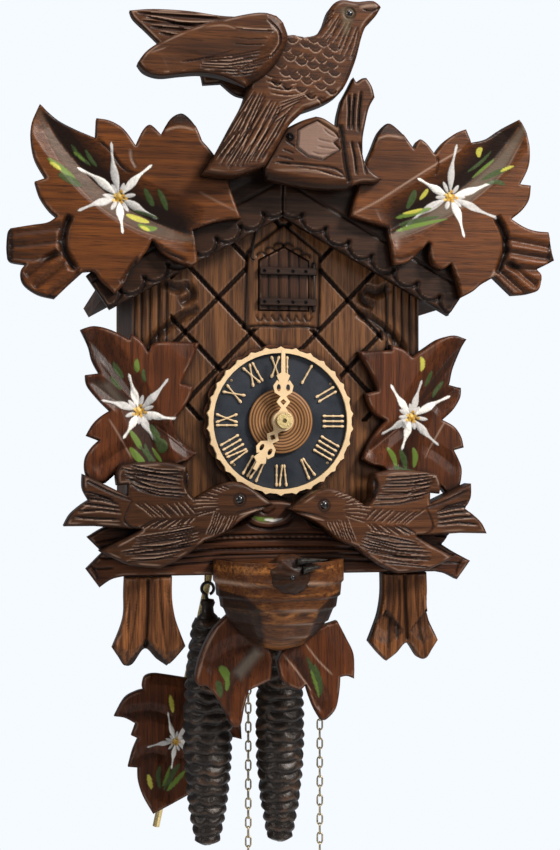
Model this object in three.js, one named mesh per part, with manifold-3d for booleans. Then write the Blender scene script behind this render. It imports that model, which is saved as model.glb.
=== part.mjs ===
// Carved cuckoo clock with an oak-leaf crown, three birds, a dial, pine-cone weights and a leaf pendulum.
// Millimetres, +X to the viewer's right, +Y into the wall, +Z up.
// Inside `clock` the origin is the centre of the dial on the wall plane; the whole group is then lowered
// by HANG_Z, so that the exported origin is a point on the back board, where the clock meets the wall.
import * as THREE from 'three';
import { mergeVertices } from 'three/addons/utils/BufferGeometryUtils.js';
import Module from 'manifold-3d';

const wasm = await Module();
wasm.setup();

// ---- driving dimensions -------------------------------------------------------------------------
const HANG_Z = 80; // the wall origin above the dial's centre
const GAP = 0.3; // clearance between pieces that touch or turn
const SLOPE = 0.56; // rise of the roof per millimetre of run
const BOARD = 5; // case boards

const CASE_HALF = 78;
const CASE_FLOOR = -79;
const GABLE_TOP = 116; // underside of the roof over the middle
const FRONT_FACE = -104; // front of the house board
const FRONT_BACK = -98;
const CARVED_BACK = FRONT_FACE - GAP; // back of the carved frame
const CARVED_FRONT = -112;
const ROOF_FRONT = -112;
const FASCIA_BACK = ROOF_FRONT - GAP;
const FASCIA_FRONT = -118;
const CROWN_BACK = FASCIA_FRONT - GAP;
const CROWN_FRONT = -126;
const BIRD_BACK = CARVED_FRONT - GAP;
const BIRD_FRONT = -127;
const EDGE_ROUND = 0.8; // on the edges of the birds and their branch

const DIAL_BOARD_R = 39.6;
const SCALLOPS = 24;
const RING_R = 38.5;
const RING_INNER_R = 36.2;
const FACE_R = 36;
const DIAL_CENTRE_R = 17.2;
const MINUTE_LENGTH = 37;
const HOUR_LENGTH = 29.6;
const HOUR_ANGLE = 210; // clockwise from twelve, for seven o'clock

const DOOR = { left: -11, right: 17, floor: 59, shoulder: 86.5, peak: 94, middle: 3 };
const DOOR_HINGE = { x: 19.3, y: -106 };
const WIRE_R = 0.6;
const DOOR_WIRE = { foot: 59.5, top: 85 };
const STRAPS = [80.3, 63.8]; // heights of the door's two nailed straps
const STRAP_HALF = 2;
const LATCH = { x: -12.4, z: 102.8 }; // the eye of the wire hook beside the door
const STRIP_Z = 59.6; // underside of the strip that carries the cuckoo
const STRIP_T = 1.6;

const PLATE_HALF = 45;
const PLATE_TOP = 45;
const PLATE_FRONT_Y = -86;
const PLATE_BACK_Y = -43.5;
const PLATE_T = 1.5;
const ARBOR_R = 1.5;
const CHAIN_Y = -62;
const CHAIN_D = 3.5;
const SPROCKET_Z = -35;
const SPROCKET_X = 20.5;
const CHAIN_PITCH_R = 11.5; // the chain's centreline round its sprocket

const CONE_TOP = -109;
const CONE_FOOT = -235;
const HANK = { top: -320, height: 66, width: 20, depth: 46 };

const PIVOT = { y: -20, z: 28 };
const SWING = 12.1; // the pendulum is drawn at this angle to the left
const VERGE_Z = 38;
const ESCAPE_Z = 17;
const VERGE_SWING = 9.64; // the crutch follows the rod from its own, higher pivot
const HAMMER = { x: 66, y: -14.5, foot: -38, head: 12 };

// ---- materials ----------------------------------------------------------------------------------
function finish(color, roughness, metalness = 0) {
  return new THREE.MeshStandardMaterial({ color, roughness, metalness });
}

const redWalnut = finish(0x6e351c, 0.55);
const darkWalnut = finish(0x3f241a, 0.6);
const lightWalnut = finish(0x8a5a37, 0.6);
const slate = finish(0x2b2d33, 0.7);
const ivory = finish(0xf0d9b0, 0.45);
const brass = finish(0xc9a868, 0.35, 0.9);
const steel = finish(0x9a9ca0, 0.35, 0.9);
const castIron = finish(0x2a221d, 0.5, 0.7);
const plainWood = finish(0xb08a5c, 0.7);

// ---- geometry helpers ---------------------------------------------------------------------------
function toSolid(geometry) {
  const bare = geometry.index ? geometry.clone() : geometry;
  bare.deleteAttribute('normal');
  bare.deleteAttribute('uv');
  const merged = mergeVertices(bare, 1e-4);
  const vertProperties = Float32Array.from(merged.attributes.position.array);
  const triVerts = Uint32Array.from(merged.index.array);
  return new wasm.Manifold(new wasm.Mesh({ numProp: 3, vertProperties, triVerts }));
}

function toGeometry(solid) {
  const mesh = solid.getMesh();
  const geometry = new THREE.BufferGeometry();
  geometry.setAttribute('position', new THREE.BufferAttribute(Float32Array.from(mesh.vertProperties), 3));
  geometry.setIndex(new THREE.BufferAttribute(Uint32Array.from(mesh.triVerts), 1));
  geometry.computeVertexNormals();
  return geometry;
}

const join = (...parts) => toGeometry(parts.map(toSolid).reduce((all, part) => all.add(part)));

function cut(body, ...tools) {
  return toGeometry(tools.map(toSolid).reduce((left, tool) => left.subtract(tool), toSolid(body)));
}

// An outline in X and Z: the first run is the start point, and each later run is a smooth curve
// from the last point through the run's points, so the runs meet at sharp corners.
function outline(runs) {
  const shape = new THREE.Shape();
  shape.moveTo(...runs[0][0]);
  for (const run of runs.slice(1)) {
    if (run.length === 1) {
      shape.lineTo(...run[0]);
    } else {
      shape.splineThru(run.map(([x, z]) => new THREE.Vector2(x, z)));
    }
  }
  return shape;
}

// Straight-sided shapes run counter-clockwise, so that a hole in one may run clockwise.
function polygon(points) {
  const corners = points.map(([x, z]) => new THREE.Vector2(x, z));
  return new THREE.Shape(THREE.ShapeUtils.isClockWise(corners) ? corners.reverse() : corners);
}

// Mirror an outline left to right, then turn it about a centre and shift it.
function mirrored(runs, { dx = 0, dz = 0, turn = 0, about = [0, 0] } = {}) {
  const c = Math.cos(THREE.MathUtils.degToRad(turn));
  const s = Math.sin(THREE.MathUtils.degToRad(turn));
  const place = ([x, z]) => {
    const u = -x - about[0];
    const v = z - about[1];
    return [about[0] + u * c - v * s + dx, about[1] + u * s + v * c + dz];
  };
  return runs.map((run) => run.map(place));
}

// A plate that fills the shape between two depths; front is the smaller Y.
function plate(shape, back, front, curveSegments = 2) {
  const options = { depth: back - front, bevelEnabled: false, curveSegments };
  const geometry = new THREE.ExtrudeGeometry(shape, options);
  return geometry.rotateX(Math.PI / 2).translate(0, back, 0);
}

// A plate whose front and back edges are rounded over.
function carvedPlate(shape, back, front) {
  const options = {
    depth: back - front - 2 * EDGE_ROUND,
    curveSegments: 2,
    bevelSegments: 1,
    bevelThickness: EDGE_ROUND,
    bevelSize: EDGE_ROUND,
    bevelOffset: -EDGE_ROUND,
  };
  const geometry = new THREE.ExtrudeGeometry(shape, options);
  return geometry.rotateX(Math.PI / 2).translate(0, back - EDGE_ROUND, 0);
}

function block(x0, x1, y0, y1, z0, z1) {
  const box = new THREE.BoxGeometry(x1 - x0, y1 - y0, z1 - z0);
  return box.translate((x0 + x1) / 2, (y0 + y1) / 2, (z0 + z1) / 2);
}

// A round bar along Y from the smaller to the larger depth.
function barY(x, z, r, y0, y1, sides = 20) {
  return new THREE.CylinderGeometry(r, r, y1 - y0, sides).translate(x, (y0 + y1) / 2, z);
}

// A round bar along Z.
function barZ(x, y, r, z0, z1, sides = 12) {
  const bar = new THREE.CylinderGeometry(r, r, z1 - z0, sides);
  return bar.rotateX(Math.PI / 2).translate(x, y, (z0 + z1) / 2);
}

// A profile of [radius, height] points turned about Z.
function turned(profile, sides = 24) {
  const points = profile.map(([r, h]) => new THREE.Vector2(r, h));
  return new THREE.LatheGeometry(points, sides).rotateX(Math.PI / 2);
}

function ball(x, y, z, rx, ry, rz, sides = 16) {
  return new THREE.SphereGeometry(1, sides, sides * 0.625).scale(rx, ry, rz).translate(x, y, z);
}

// A wire of round section along a smooth curve through the points; a circle has two points per segment.
function wire(points, r, steps, sides = 6) {
  const section = new THREE.Shape().absarc(0, 0, r, 0, Math.PI * 2);
  const route = points.map((p) => new THREE.Vector3(...p));
  const extrudePath = new THREE.CatmullRomCurve3(route, false, 'centripetal');
  const options = { steps, extrudePath, bevelEnabled: false, curveSegments: sides / 2 };
  return new THREE.ExtrudeGeometry(section, options);
}

const clock = new THREE.Group();
function add(name, geometry, material) {
  const mesh = new THREE.Mesh(geometry, material);
  mesh.name = name;
  clock.add(mesh);
}

// ---- the case -----------------------------------------------------------------------------------
const gableLine = (x, drop = GAP) => GABLE_TOP - drop - SLOPE * Math.abs(x);

function houseOutline(half, floor) {
  const eaves = gableLine(half);
  return polygon([[-half, floor], [half, floor], [half, eaves], [0, gableLine(0)], [-half, eaves]]);
}

function doorShape(clear) {
  const { left, right, floor, shoulder, peak, middle } = DOOR;
  return polygon([
    [left + clear, floor + clear],
    [right - clear, floor + clear],
    [right - clear, shoulder - clear],
    [middle, peak - clear],
    [left + clear, shoulder - clear],
  ]);
}

// Grooves that cross on the front as a lattice of squares standing on their corners.
function latticeGrooves() {
  const pitch = 17.7;
  const width = 1.7;
  const depth = 1.1;
  const centre = { x: 3, z: 103 };
  const tools = [];
  for (let i = -10; i <= 10; i += 2) {
    for (const lean of [-1, 1]) {
      const groove = new THREE.BoxGeometry(width, depth * 2, 330);
      groove.rotateY(lean * THREE.MathUtils.degToRad(43.5));
      tools.push(groove.translate(centre.x + i * pitch, FRONT_FACE, centre.z));
    }
  }
  return tools;
}

function caseFront() {
  const shape = houseOutline(CASE_HALF, CASE_FLOOR);
  shape.holes.push(doorShape(0));
  const board = plate(shape, FRONT_BACK, FRONT_FACE);
  const field = toSolid(plate(houseOutline(58.5, 5), FRONT_BACK - 1, FRONT_FACE - 3));
  const aroundDoor = polygon([[-18, 50], [22, 50], [23, 90], [3, 104], [-17, 90]]);
  const margin = plate(aroundDoor, FRONT_BACK - 1, FRONT_FACE - 3);
  const grooves = latticeGrooves().map(toSolid).reduce((all, groove) => all.add(groove));
  const flutes = [];
  for (const side of [-1, 1]) {
    for (const x of [62, 66.5, 71, 75.5]) {
      flutes.push(block(side * x - 0.7, side * x + 0.7, FRONT_FACE - 1, FRONT_FACE + 1.2, -78, 90));
    }
  }
  const lattice = grooves.intersect(field).subtract(toSolid(margin));
  const drilled = cut(board, barY(0, 0, 4.5, FRONT_FACE - 1, FRONT_BACK + 1), ...flutes);
  return toGeometry(toSolid(drilled).subtract(lattice).add(toSolid(doorWire())));
}

// The staple that the cuckoo's door turns on, let into the board at both ends.
function doorWire() {
  const { x, y } = DOOR_HINGE;
  return join(
    barZ(x, y, WIRE_R, DOOR_WIRE.foot, DOOR_WIRE.top, 8),
    barY(x, DOOR_WIRE.top, WIRE_R, y - WIRE_R, FRONT_FACE + 1, 8),
    barY(x, DOOR_WIRE.foot, WIRE_R, y - WIRE_R, FRONT_FACE + 1, 8),
  );
}

function caseSide(side) {
  const inner = CASE_HALF - BOARD;
  const top = [[inner, gableLine(inner)], [CASE_HALF, gableLine(CASE_HALF)]];
  const points = [[CASE_HALF, CASE_FLOOR], [inner, CASE_FLOOR], ...top];
  const shape = polygon(points.map(([x, z]) => [side * x, z]));
  const board = plate(shape, -BOARD - GAP, FRONT_BACK + GAP);
  const mouth = block(side * 76 - 4, side * 76 + 4, -57, -39, 4, 12);
  return cut(board, mouth);
}

function caseBottom() {
  const half = CASE_HALF - BOARD - GAP;
  const board = block(-half, half, FRONT_BACK + GAP, -GAP, CASE_FLOOR, CASE_FLOOR + BOARD + 0.7);
  const holes = [];
  for (const x of [-SPROCKET_X - CHAIN_PITCH_R, -SPROCKET_X + CHAIN_PITCH_R]) {
    holes.push(barZ(x, CHAIN_Y, 4, CASE_FLOOR - 1, CASE_FLOOR + 8));
    holes.push(barZ(-x, CHAIN_Y, 4, CASE_FLOOR - 1, CASE_FLOOR + 8));
  }
  holes.push(block(-31, 31, PIVOT.y - 4, PIVOT.y + 4, CASE_FLOOR - 1, CASE_FLOOR + 8));
  return cut(board, ...holes);
}

function roofBoard(side) {
  const thick = 7;
  const points = [
    [0.15, GABLE_TOP],
    [94.5, GABLE_TOP - SLOPE * 94.5],
    [97.6, GABLE_TOP + thick - SLOPE * 97.6],
    [0.15, GABLE_TOP + thick],
  ];
  return plate(polygon(points.map(([x, z]) => [side * x, z])), -1, ROOF_FRONT);
}

// The back board under the gable, with the keyhole that the wall nail goes in.
function backGable() {
  const shape = houseOutline(CASE_HALF, 50);
  const hinge = barZ(76, -2.5, 1.25, 45, 56);
  const slot = block(-2, 2, -8, 3, 92, 104);
  return cut(plate(shape, 0, -BOARD), hinge, slot, barY(0, 92, 5, -8, 3));
}

function backBottomBar() {
  const bar = block(-CASE_HALF, CASE_HALF, -BOARD, 0, -73, -58);
  return cut(bar, barZ(76, -2.5, 1.25, -63, -57));
}

function backDoor() {
  const panel = block(-77.5, 77.5, -4.5, -0.5, -58 + GAP, 50 - GAP);
  return join(panel, barZ(76, -2.5, 0.95, -62, 54.5));
}

// ---- the roof's carved edge and crown -----------------------------------------------------------
// It stands higher than the roof behind the crown leaves, and the crown is fixed to it.
function fascia(side) {
  const eaves = [[91, 108 - SLOPE * 91], [103, 132 - SLOPE * 103], [88, 83]];
  const points = [[0.15, 108], ...eaves, [80, 92.5], [0.15, 142]];
  return plate(polygon(points.map(([x, z]) => [side * x, z])), FASCIA_BACK, FASCIA_FRONT);
}

const CROWN_LEAF_LEFT = [
  [[-127, 160]],
  [[-131, 150.5], [-131.5, 142], [-129.5, 132], [-124, 122.5]],
  [[-129.5, 120.5]],
  [[-127, 113], [-122.5, 106.5], [-118.5, 103]],
  [[-123, 100], [-131, 98.5], [-141.5, 96.5]],
  [[-143, 94], [-143.5, 87], [-143, 81.5]],
  [[-141, 79.5], [-134, 78.5]],
  [[-136.5, 74.5], [-135, 68.5], [-128, 63.5], [-119.5, 61.5]],
  [[-112.5, 68.5], [-105, 75.5]],
  [[-99.5, 75.5], [-95.5, 70.5], [-89, 64.5]],
  [[-84.5, 69.5], [-81, 76.5], [-77, 81]],
  [[-72.5, 87], [-70, 92.5]],
  [[-64.5, 86], [-56.5, 81.5], [-49.5, 79.5]],
  [[-46.5, 82], [-47.5, 91], [-48.5, 98.5]],
  [[-39, 102], [-31, 104], [-23.5, 105]],
  [[-26, 111], [-28, 116.5]],
  [[-32, 129], [-39, 139], [-44, 144.5]],
  [[-47, 151.5], [-51, 157], [-55, 159], [-60.5, 155.5], [-65.5, 147]],
  [[-68.5, 150.5], [-71.5, 152], [-75, 148.5], [-78.5, 141]],
  [[-84.5, 149], [-91.5, 153], [-98.5, 154]],
  [[-99, 144]],
  [[-108.5, 148], [-118, 153], [-127, 160]],
];

const CROWN_LEAF_RIGHT = [
  [[128.5, 163]],
  [[133, 156.5], [134.5, 145.5], [133.5, 137], [129, 128]],
  [[135, 127.5]],
  [[134, 120], [130, 114], [124, 109]],
  [[131, 105], [137.5, 103], [145, 102.5]],
  [[146.5, 96], [149, 87.5]],
  [[139, 82.5]],
  [[141, 78.5], [139.5, 71.5], [134, 69], [125, 68]],
  [[120, 72.5], [114.5, 77.5]],
  [[107, 73.5], [102, 69.5], [95.5, 66]],
  [[93.5, 74.5], [90, 84]],
  [[85, 81], [80, 83]],
  [[78.5, 87], [77.5, 95]],
  [[71, 88.5], [65.5, 84], [58.5, 82.5]],
  [[57, 91], [55.5, 102.5]],
  [[45.5, 105], [35, 108]],
  [[37, 117], [41.5, 132], [47, 145.5]],
  [[50.5, 153.5], [56, 158.5], [61.5, 155], [69.5, 145]],
  [[71.5, 149], [73.5, 150], [77, 147.5], [81, 142.5]],
  [[86, 149], [92.5, 154], [98.5, 156.5]],
  [[101.5, 149.5]],
  [[110, 152], [119, 158], [128.5, 163]],
];

const BRANCH = [
  [[-11.4, 130]],
  [[-5.5, 140.6], [0.5, 151]],
  [[7, 155.5], [14.5, 158]],
  [[19, 157], [25.5, 153]],
  [[26, 159], [28, 167]],
  [[31.5, 173.5], [34.5, 179.5]],
  [[36, 177]],
  [[39, 179], [41.5, 179.5]],
  [[44.5, 175], [46, 169.5]],
  [[43, 164], [41, 156], [39.5, 147.5], [39.5, 139.5]],
  [[42, 132.5], [50, 126.5]],
  [[46, 124.5], [38, 124], [31, 121]],
  [[20, 120.5], [5, 121.5], [-10.4, 124.6]],
  [[-11.4, 130]],
];

// The cut stump and forked twig that the top bird sits on, with the block that fixes it to the roof.
function crownBranch() {
  const front = carvedPlate(outline(BRANCH), CROWN_FRONT - GAP, -134);
  const root = block(4, 33, CROWN_FRONT - GAP - 1, CROWN_BACK, 124, 139);
  return join(front, root);
}

const TOP_BIRD = [
  [[48.5, 216]],
  [[45.5, 211], [40.5, 205.5], [38, 199.5], [34.5, 186.5], [28, 172], [19.5, 165], [7.5, 160]],
  [[0, 152.5], [-6.5, 141.5], [-13, 130.5]],
  [[-29, 124.5], [-45.5, 125.5]],
  [[-39, 135.5], [-31, 150.5], [-24, 164], [-20, 179], [-14, 191.5], [-2.5, 198.5], [7.5, 198]],
  [[13.5, 199.5], [18, 205.5], [21.5, 214.5], [27, 218.5], [35, 218], [44, 219], [48.5, 216]],
];

const TOP_WING_NEAR = [
  [[-79.5, 178]],
  [[-74.5, 184.5], [-64.5, 191], [-48, 198.5], [-31.5, 203.5], [-18, 206.5], [-8.5, 206]],
  [[-4.5, 202.5], [-2, 195.5], [-4.5, 189]],
  [[-7.5, 183], [-14, 176], [-24, 169.5]],
  [[-35.5, 173], [-47, 174.5], [-57.5, 173.5], [-68.5, 172], [-76, 174], [-79.5, 178]],
];

const TOP_WING_FAR = [
  [[-81.7, 210.1]],
  [[-69.4, 211.6], [-51.1, 211.6], [-35.2, 210.1], [-20.4, 209.6], [-9.5, 205.8]],
  [[-9.5, 194.3], [-13.5, 179.4], [-20.9, 168]],
  [[-27.3, 169.5], [-34.2, 174.9]],
  [[-43.6, 173.9]],
  [[-46.1, 181.4], [-55.5, 188.3], [-66.4, 193.7]],
  [[-73.3, 200.2], [-79.8, 206.1], [-81.7, 210.1]],
];

function topBirdBody() {
  const flat = carvedPlate(outline(TOP_BIRD), CROWN_FRONT - GAP, -138);
  const breast = ball(11, -130.5, 183, 20, 12, 17);
  const head = ball(31, -130.5, 209, 10, 9.5, 9);
  return join(flat, breast, head);
}

// ---- the carved frame ---------------------------------------------------------------------------
const SIDE_LEAF_LEFT = [
  [[-105.5, 47]],
  [[-98.5, 49], [-89.5, 47], [-80.5, 42.5]],
  [[-79, 45], [-73.5, 41], [-70.5, 36]],
  [[-67.5, 40.5], [-57.5, 41.5], [-43.5, 41]],
  [[-46, 34.5], [-49.5, 27], [-53, 19.5]],
  [[-46.5, 18]],
  [[-48.5, 12], [-52.5, 5.5], [-57.5, -0.5]],
  [[-55, -8], [-50.5, -13], [-44.5, -17]],
  [[-49.5, -21], [-55.5, -24], [-59.5, -34]],
  [[-69.5, -35], [-79.5, -30], [-87.5, -28]],
  [[-92.5, -32.5]],
  [[-99.5, -33], [-103, -27], [-103, -20], [-100, -14.5], [-96, -10.5]],
  [[-102.5, -8]],
  [[-99, -2], [-95, 2], [-90.5, 5]],
  [[-96.5, 11], [-102, 18], [-103, 23.5]],
  [[-96, 24.5]],
  [[-99.5, 31], [-101.5, 38.5], [-105.5, 47]],
];

const SIDE_LEAF_RIGHT = [
  [[103.5, 45]],
  [[96.5, 47], [88, 45], [80, 40], [72.5, 35]],
  [[67.5, 39], [60.5, 41.5]],
  [[60.5, 38.5]],
  [[42.5, 37.5]],
  [[47, 30], [51, 22.5], [53, 16.5]],
  [[46.5, 15]],
  [[48, 9.5], [51.5, 4], [57.5, 0.5]],
  [[52, -6], [48, -12.5], [44.5, -20.5]],
  [[50, -23.5], [57, -26], [61, -36]],
  [[73, -36], [81, -32], [86, -33.5]],
  [[89, -36], [92.5, -39.5], [98, -38.5]],
  [[100, -31], [100, -24], [96, -15.5]],
  [[101.5, -14]],
  [[100, -8], [96, -2.5], [89.5, 1]],
  [[95.5, 6.5], [99.5, 13], [100.5, 18.5]],
  [[93.5, 20]],
  [[95.5, 28], [99, 36], [103.5, 45]],
];

const BASE_RAIL = [
  [[-102.5, -77]],
  [[-95.5, -86.5]],
  [[-89.5, -82.5], [-83.5, -81]],
  [[85, -81]],
  [[91.5, -82.5], [97.5, -85.5]],
  [[105, -75.5]],
  [[95.5, -70.5], [89, -66.5]],
  [[94.5, -59]],
  [[86, -55], [51, -58]],
  [[21, -57], [13, -50], [7, -44], [-3, -42], [-13.5, -44], [-17.5, -52], [-29.5, -57]],
  [[-49.5, -56], [-84.5, -53], [-102, -60.5]],
  [[-94, -68.5]],
  [[-102.5, -77]],
];

const FOOT = [
  [[-82.5, -81.3]],
  [[-82.8, -90], [-82.8, -100], [-84.5, -107.5], [-88.8, -118]],
  [[-85.8, -122.5], [-82.3, -127.5], [-77.8, -127], [-71.7, -119], [-65.6, -124.5], [-60, -128.5]],
  [[-55.5, -124], [-50.5, -118]],
  [[-53.5, -110.5], [-56.2, -102.5], [-57.7, -92.5], [-57.7, -81.3]],
  [[-82.5, -81.3]],
];

const SIDE_BIRD = [
  [[-6.5, -43.5]],
  [[-13.5, -47], [-23, -51.5], [-32, -58.5], [-42.5, -62.5]],
  [[-49, -67.5], [-57.5, -72.5], [-65.5, -76]],
  [[-79.5, -74.5], [-89.5, -70.5], [-96.5, -67]],
  [[-89.5, -63.5], [-81.5, -59.5], [-75.5, -56]],
  [[-87.5, -55], [-99.5, -54]],
  [[-114.5, -54]],
  [[-111.5, -48.5], [-106.5, -44], [-102, -41]],
  [[-105, -35], [-105, -27.5]],
  [[-96.5, -31.5], [-89.5, -35], [-82.5, -38.5]],
  [[-82.5, -33]],
  [[-87.5, -33.5]],
  [[-88, -28], [-86, -23]],
  [[-74.5, -21.5], [-62.5, -21.5], [-52, -23.5]],
  [[-50.5, -30], [-51, -36], [-47, -40.5]],
  [[-43, -38], [-38, -35]],
  [[-32, -32.5], [-26, -32], [-19, -34.5], [-13, -38.5], [-6.5, -43.5]],
];
const RIGHT_BIRD_PLACE = { dx: -4.5, dz: -4.3, turn: -1.7, about: [57, -48] };

function sideBird(runs, eye) {
  return join(carvedPlate(outline(runs), BIRD_BACK, BIRD_FRONT + 2), ball(...eye, 9, 5, 8));
}

const NEST_LEAF_LEFT = [
  [[-26.5, -100.5]],
  [[-36, -109.5], [-42.5, -122], [-45.5, -134.5], [-43.5, -139]],
  [[-39, -139.5], [-34, -145.5], [-29.5, -154], [-25.5, -161]],
  [[-21.5, -160], [-19.5, -151], [-17, -142]],
  [[-11, -139.5], [-5.5, -137]],
  [[-4, -126]],
  [[-8, -115], [-16.5, -106.5], [-26.5, -100.5]],
];

const NEST_LEAF_RIGHT = [
  [[31, -106.5]],
  [[36, -116], [40, -125], [40, -137.5]],
  [[36, -136], [32.5, -136.5]],
  [[32, -143.5], [30, -153], [25, -158.5], [22, -159]],
  [[18.5, -153], [15.5, -145.5], [14, -140.5]],
  [[9.5, -142.5], [1, -137.5], [-2, -127]],
  [[6.5, -115], [31, -106.5]],
];

const NEST = { x: -1.7, y: -113 };
const CHICK = { x: -2, y: -141, z: -79 };

// Half of a turned bowl, banded outside, with a notch at the front where the chick looks out.
function nest() {
  const profile = [
    [0, -121.5], [9, -120], [17, -116], [24, -109], [29.5, -101],
    [33, -92], [35, -82], [34.7, -72.5], [0, -72.5],
  ];
  const bowl = toSolid(turned(profile, 40).translate(NEST.x, NEST.y, 0));
  const front = toSolid(block(-60, 60, -190, BIRD_BACK, -130, -60));
  const hollow = toSolid(ball(NEST.x, NEST.y - 8, -70, 25, 8, 12));
  const notch = toSolid(ball(CHICK.x, CHICK.y - 2, CHICK.z + 1, 15, 12.5, 13.5));
  return toGeometry(bowl.intersect(front).subtract(hollow).subtract(notch));
}

function nestChick() {
  const head = ball(CHICK.x, CHICK.y, CHICK.z, 12.5, 9.6, 11);
  const beak = new THREE.ConeGeometry(3.4, 13, 12).rotateZ(-Math.PI / 3);
  return join(head, beak.translate(CHICK.x + 9.5, CHICK.y - 7, CHICK.z + 5));
}

// ---- the dial -----------------------------------------------------------------------------------
function ringShape(outer, inner) {
  const shape = new THREE.Shape().absarc(0, 0, outer, 0, Math.PI * 2);
  shape.holes.push(new THREE.Path().absarc(0, 0, inner, 0, Math.PI * 2, true));
  return shape;
}

// A disc whose rim is a row of round lobes.
function dialBoard() {
  const points = [];
  for (let i = 0; i < SCALLOPS * 6; i += 1) {
    const angle = (i / (SCALLOPS * 6)) * Math.PI * 2;
    const r = DIAL_BOARD_R + 1.4 * Math.abs(Math.sin((angle * SCALLOPS) / 2));
    points.push([r * Math.sin(angle), r * Math.cos(angle)]);
  }
  const shape = polygon(points);
  shape.holes.push(new THREE.Path().absarc(0, 0, 4.5, 0, Math.PI * 2, true));
  return plate(shape, CARVED_BACK, -107.7, 8);
}

function dialFace() {
  const slab = plate(ringShape(FACE_R, 4), -108, -109.5, 30);
  const steps = [[4, -1], [DIAL_CENTRE_R, -1], [DIAL_CENTRE_R, 2], [14, 3], [9, 2.2], [4, 2.6], [4, -1]];
  const centre = turned(steps, 40).rotateX(Math.PI / 2).translate(0, -109.6, 0);
  return join(slab, centre);
}

// The ring outside the numerals, with a small point every twelve degrees.
function dialRing() {
  const points = [];
  const count = 30;
  for (let i = 0; i < count * 4; i += 1) {
    const angle = (i / (count * 4)) * Math.PI * 2;
    const r = i % 4 === 0 ? RING_R + 1.1 : RING_R;
    points.push([r * Math.sin(angle), r * Math.cos(angle)]);
  }
  const shape = polygon(points);
  shape.holes.push(new THREE.Path().absarc(0, 0, RING_INNER_R, 0, Math.PI * 2, true));
  return plate(shape, -108, -111.7, 24);
}

// One side of a fretted hand, from its hub to its tip, as [half width, height].
function handShape(length, hub, bore) {
  const side = [
    [2.6, hub * 0.9], [1.2, hub + 1.5], [3.6, hub + 4.5], [1.5, hub + 7.5], [4.6, hub + 9.5],
    [5.4, hub + 13], [3.4, hub + 16], [2.2, hub + 15], [3.6, hub + 18.5], [1.1, hub + 20], [1, length],
  ];
  const mirror = side.slice().reverse().map(([x, z]) => [-x, z]);
  const shape = new THREE.Shape();
  const start = Math.acos(2.6 / hub);
  shape.absarc(0, 0, hub, Math.PI - start, Math.PI * 2 + start);
  [...side.slice(1), ...mirror.slice(0, -1)].forEach(([x, z]) => shape.lineTo(x, z));
  const diamond = new THREE.Path();
  diamond.moveTo(0, hub + 2.8);
  diamond.lineTo(-1.7, hub + 4.6);
  diamond.lineTo(0, hub + 6.2);
  diamond.lineTo(1.7, hub + 4.6);
  shape.holes.push(diamond);
  for (const x of [-2.5, 2.5]) {
    shape.holes.push(new THREE.Path().absellipse(x, hub + 12, 1.1, 1.9, 0, Math.PI * 2, true));
  }
  shape.holes.push(new THREE.Path().absarc(0, 0, bore, 0, Math.PI * 2, true));
  return shape;
}

function hourHand() {
  const blade = plate(handShape(HOUR_LENGTH, 5.4, 2.4), -113.8, -115, 8);
  blade.rotateY(THREE.MathUtils.degToRad(HOUR_ANGLE));
  return join(blade, plate(ringShape(3.3, 2.4), -88, -114, 10));
}

const minuteHand = () => plate(handShape(MINUTE_LENGTH, 5.4, 2.2), -117.3, -118.5, 8);

const handNut = () => cut(barY(0, 0, 4, -122, -118.8, 24), barY(0, 0, 1.2, -123, -120.4, 12));

// ---- the cuckoo and its door --------------------------------------------------------------------
function cuckooDoor() {
  const { x, y } = DOOR_HINGE;
  const panel = plate(doorShape(0.5), -102.2, -105);
  const strap = (z) => block(DOOR.left + 0.5, x + 1.4, -107.3, -104.85, z - STRAP_HALF, z + STRAP_HALF);
  const straps = STRAPS.map(strap);
  const bore = barZ(x, y, WIRE_R + GAP, 58, 90);
  return cut(join(panel, ...straps), bore);
}

function doorLatch() {
  const { x, z } = LATCH;
  const loop = cut(barY(x, z, 2, -105.7, -104.5, 12), barY(x, z, 0.8, -107, -104, 8));
  const points = [
    [x, -105.1, z - 1.4],
    [x - 0.8, -105.3, z - 6],
    [x - 2, -105.3, z - 13],
    [x - 2.6, -105.9, z - 15.8],
    [x - 1.2, -107.4, z - 17],
  ];
  return join(wire(points, 0.5, 12), loop);
}

// A small painted bird on the strip that carries it out through the door.
function cuckooBird() {
  const { middle } = DOOR;
  const body = ball(middle, -76, 71, 6.5, 13, 7);
  const head = ball(middle, -85, 79, 5, 5.5, 5);
  const beak = new THREE.ConeGeometry(1.6, 6, 10).rotateX(-Math.PI / 2).translate(middle, -91.5, 78.5);
  const tail = block(middle - 3.5, middle + 3.5, -68, -48, 69, 71.5);
  const leg = barZ(middle, -76, 1.5, STRIP_Z + 0.5, 66);
  const strip = block(middle - 4, middle + 4, -92, -40, STRIP_Z, STRIP_Z + STRIP_T);
  return join(body, head, beak, tail, leg, strip);
}

// ---- the movement -------------------------------------------------------------------------------
function gear(radius, teeth, thickness, back, x, z) {
  const points = [];
  for (let i = 0; i < teeth * 4; i += 1) {
    const angle = (i / (teeth * 4)) * Math.PI * 2;
    const r = i % 4 < 2 ? radius : radius - 1.6;
    points.push([r * Math.sin(angle), r * Math.cos(angle)]);
  }
  return plate(polygon(points), back, back - thickness).translate(x, 0, z);
}

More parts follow.
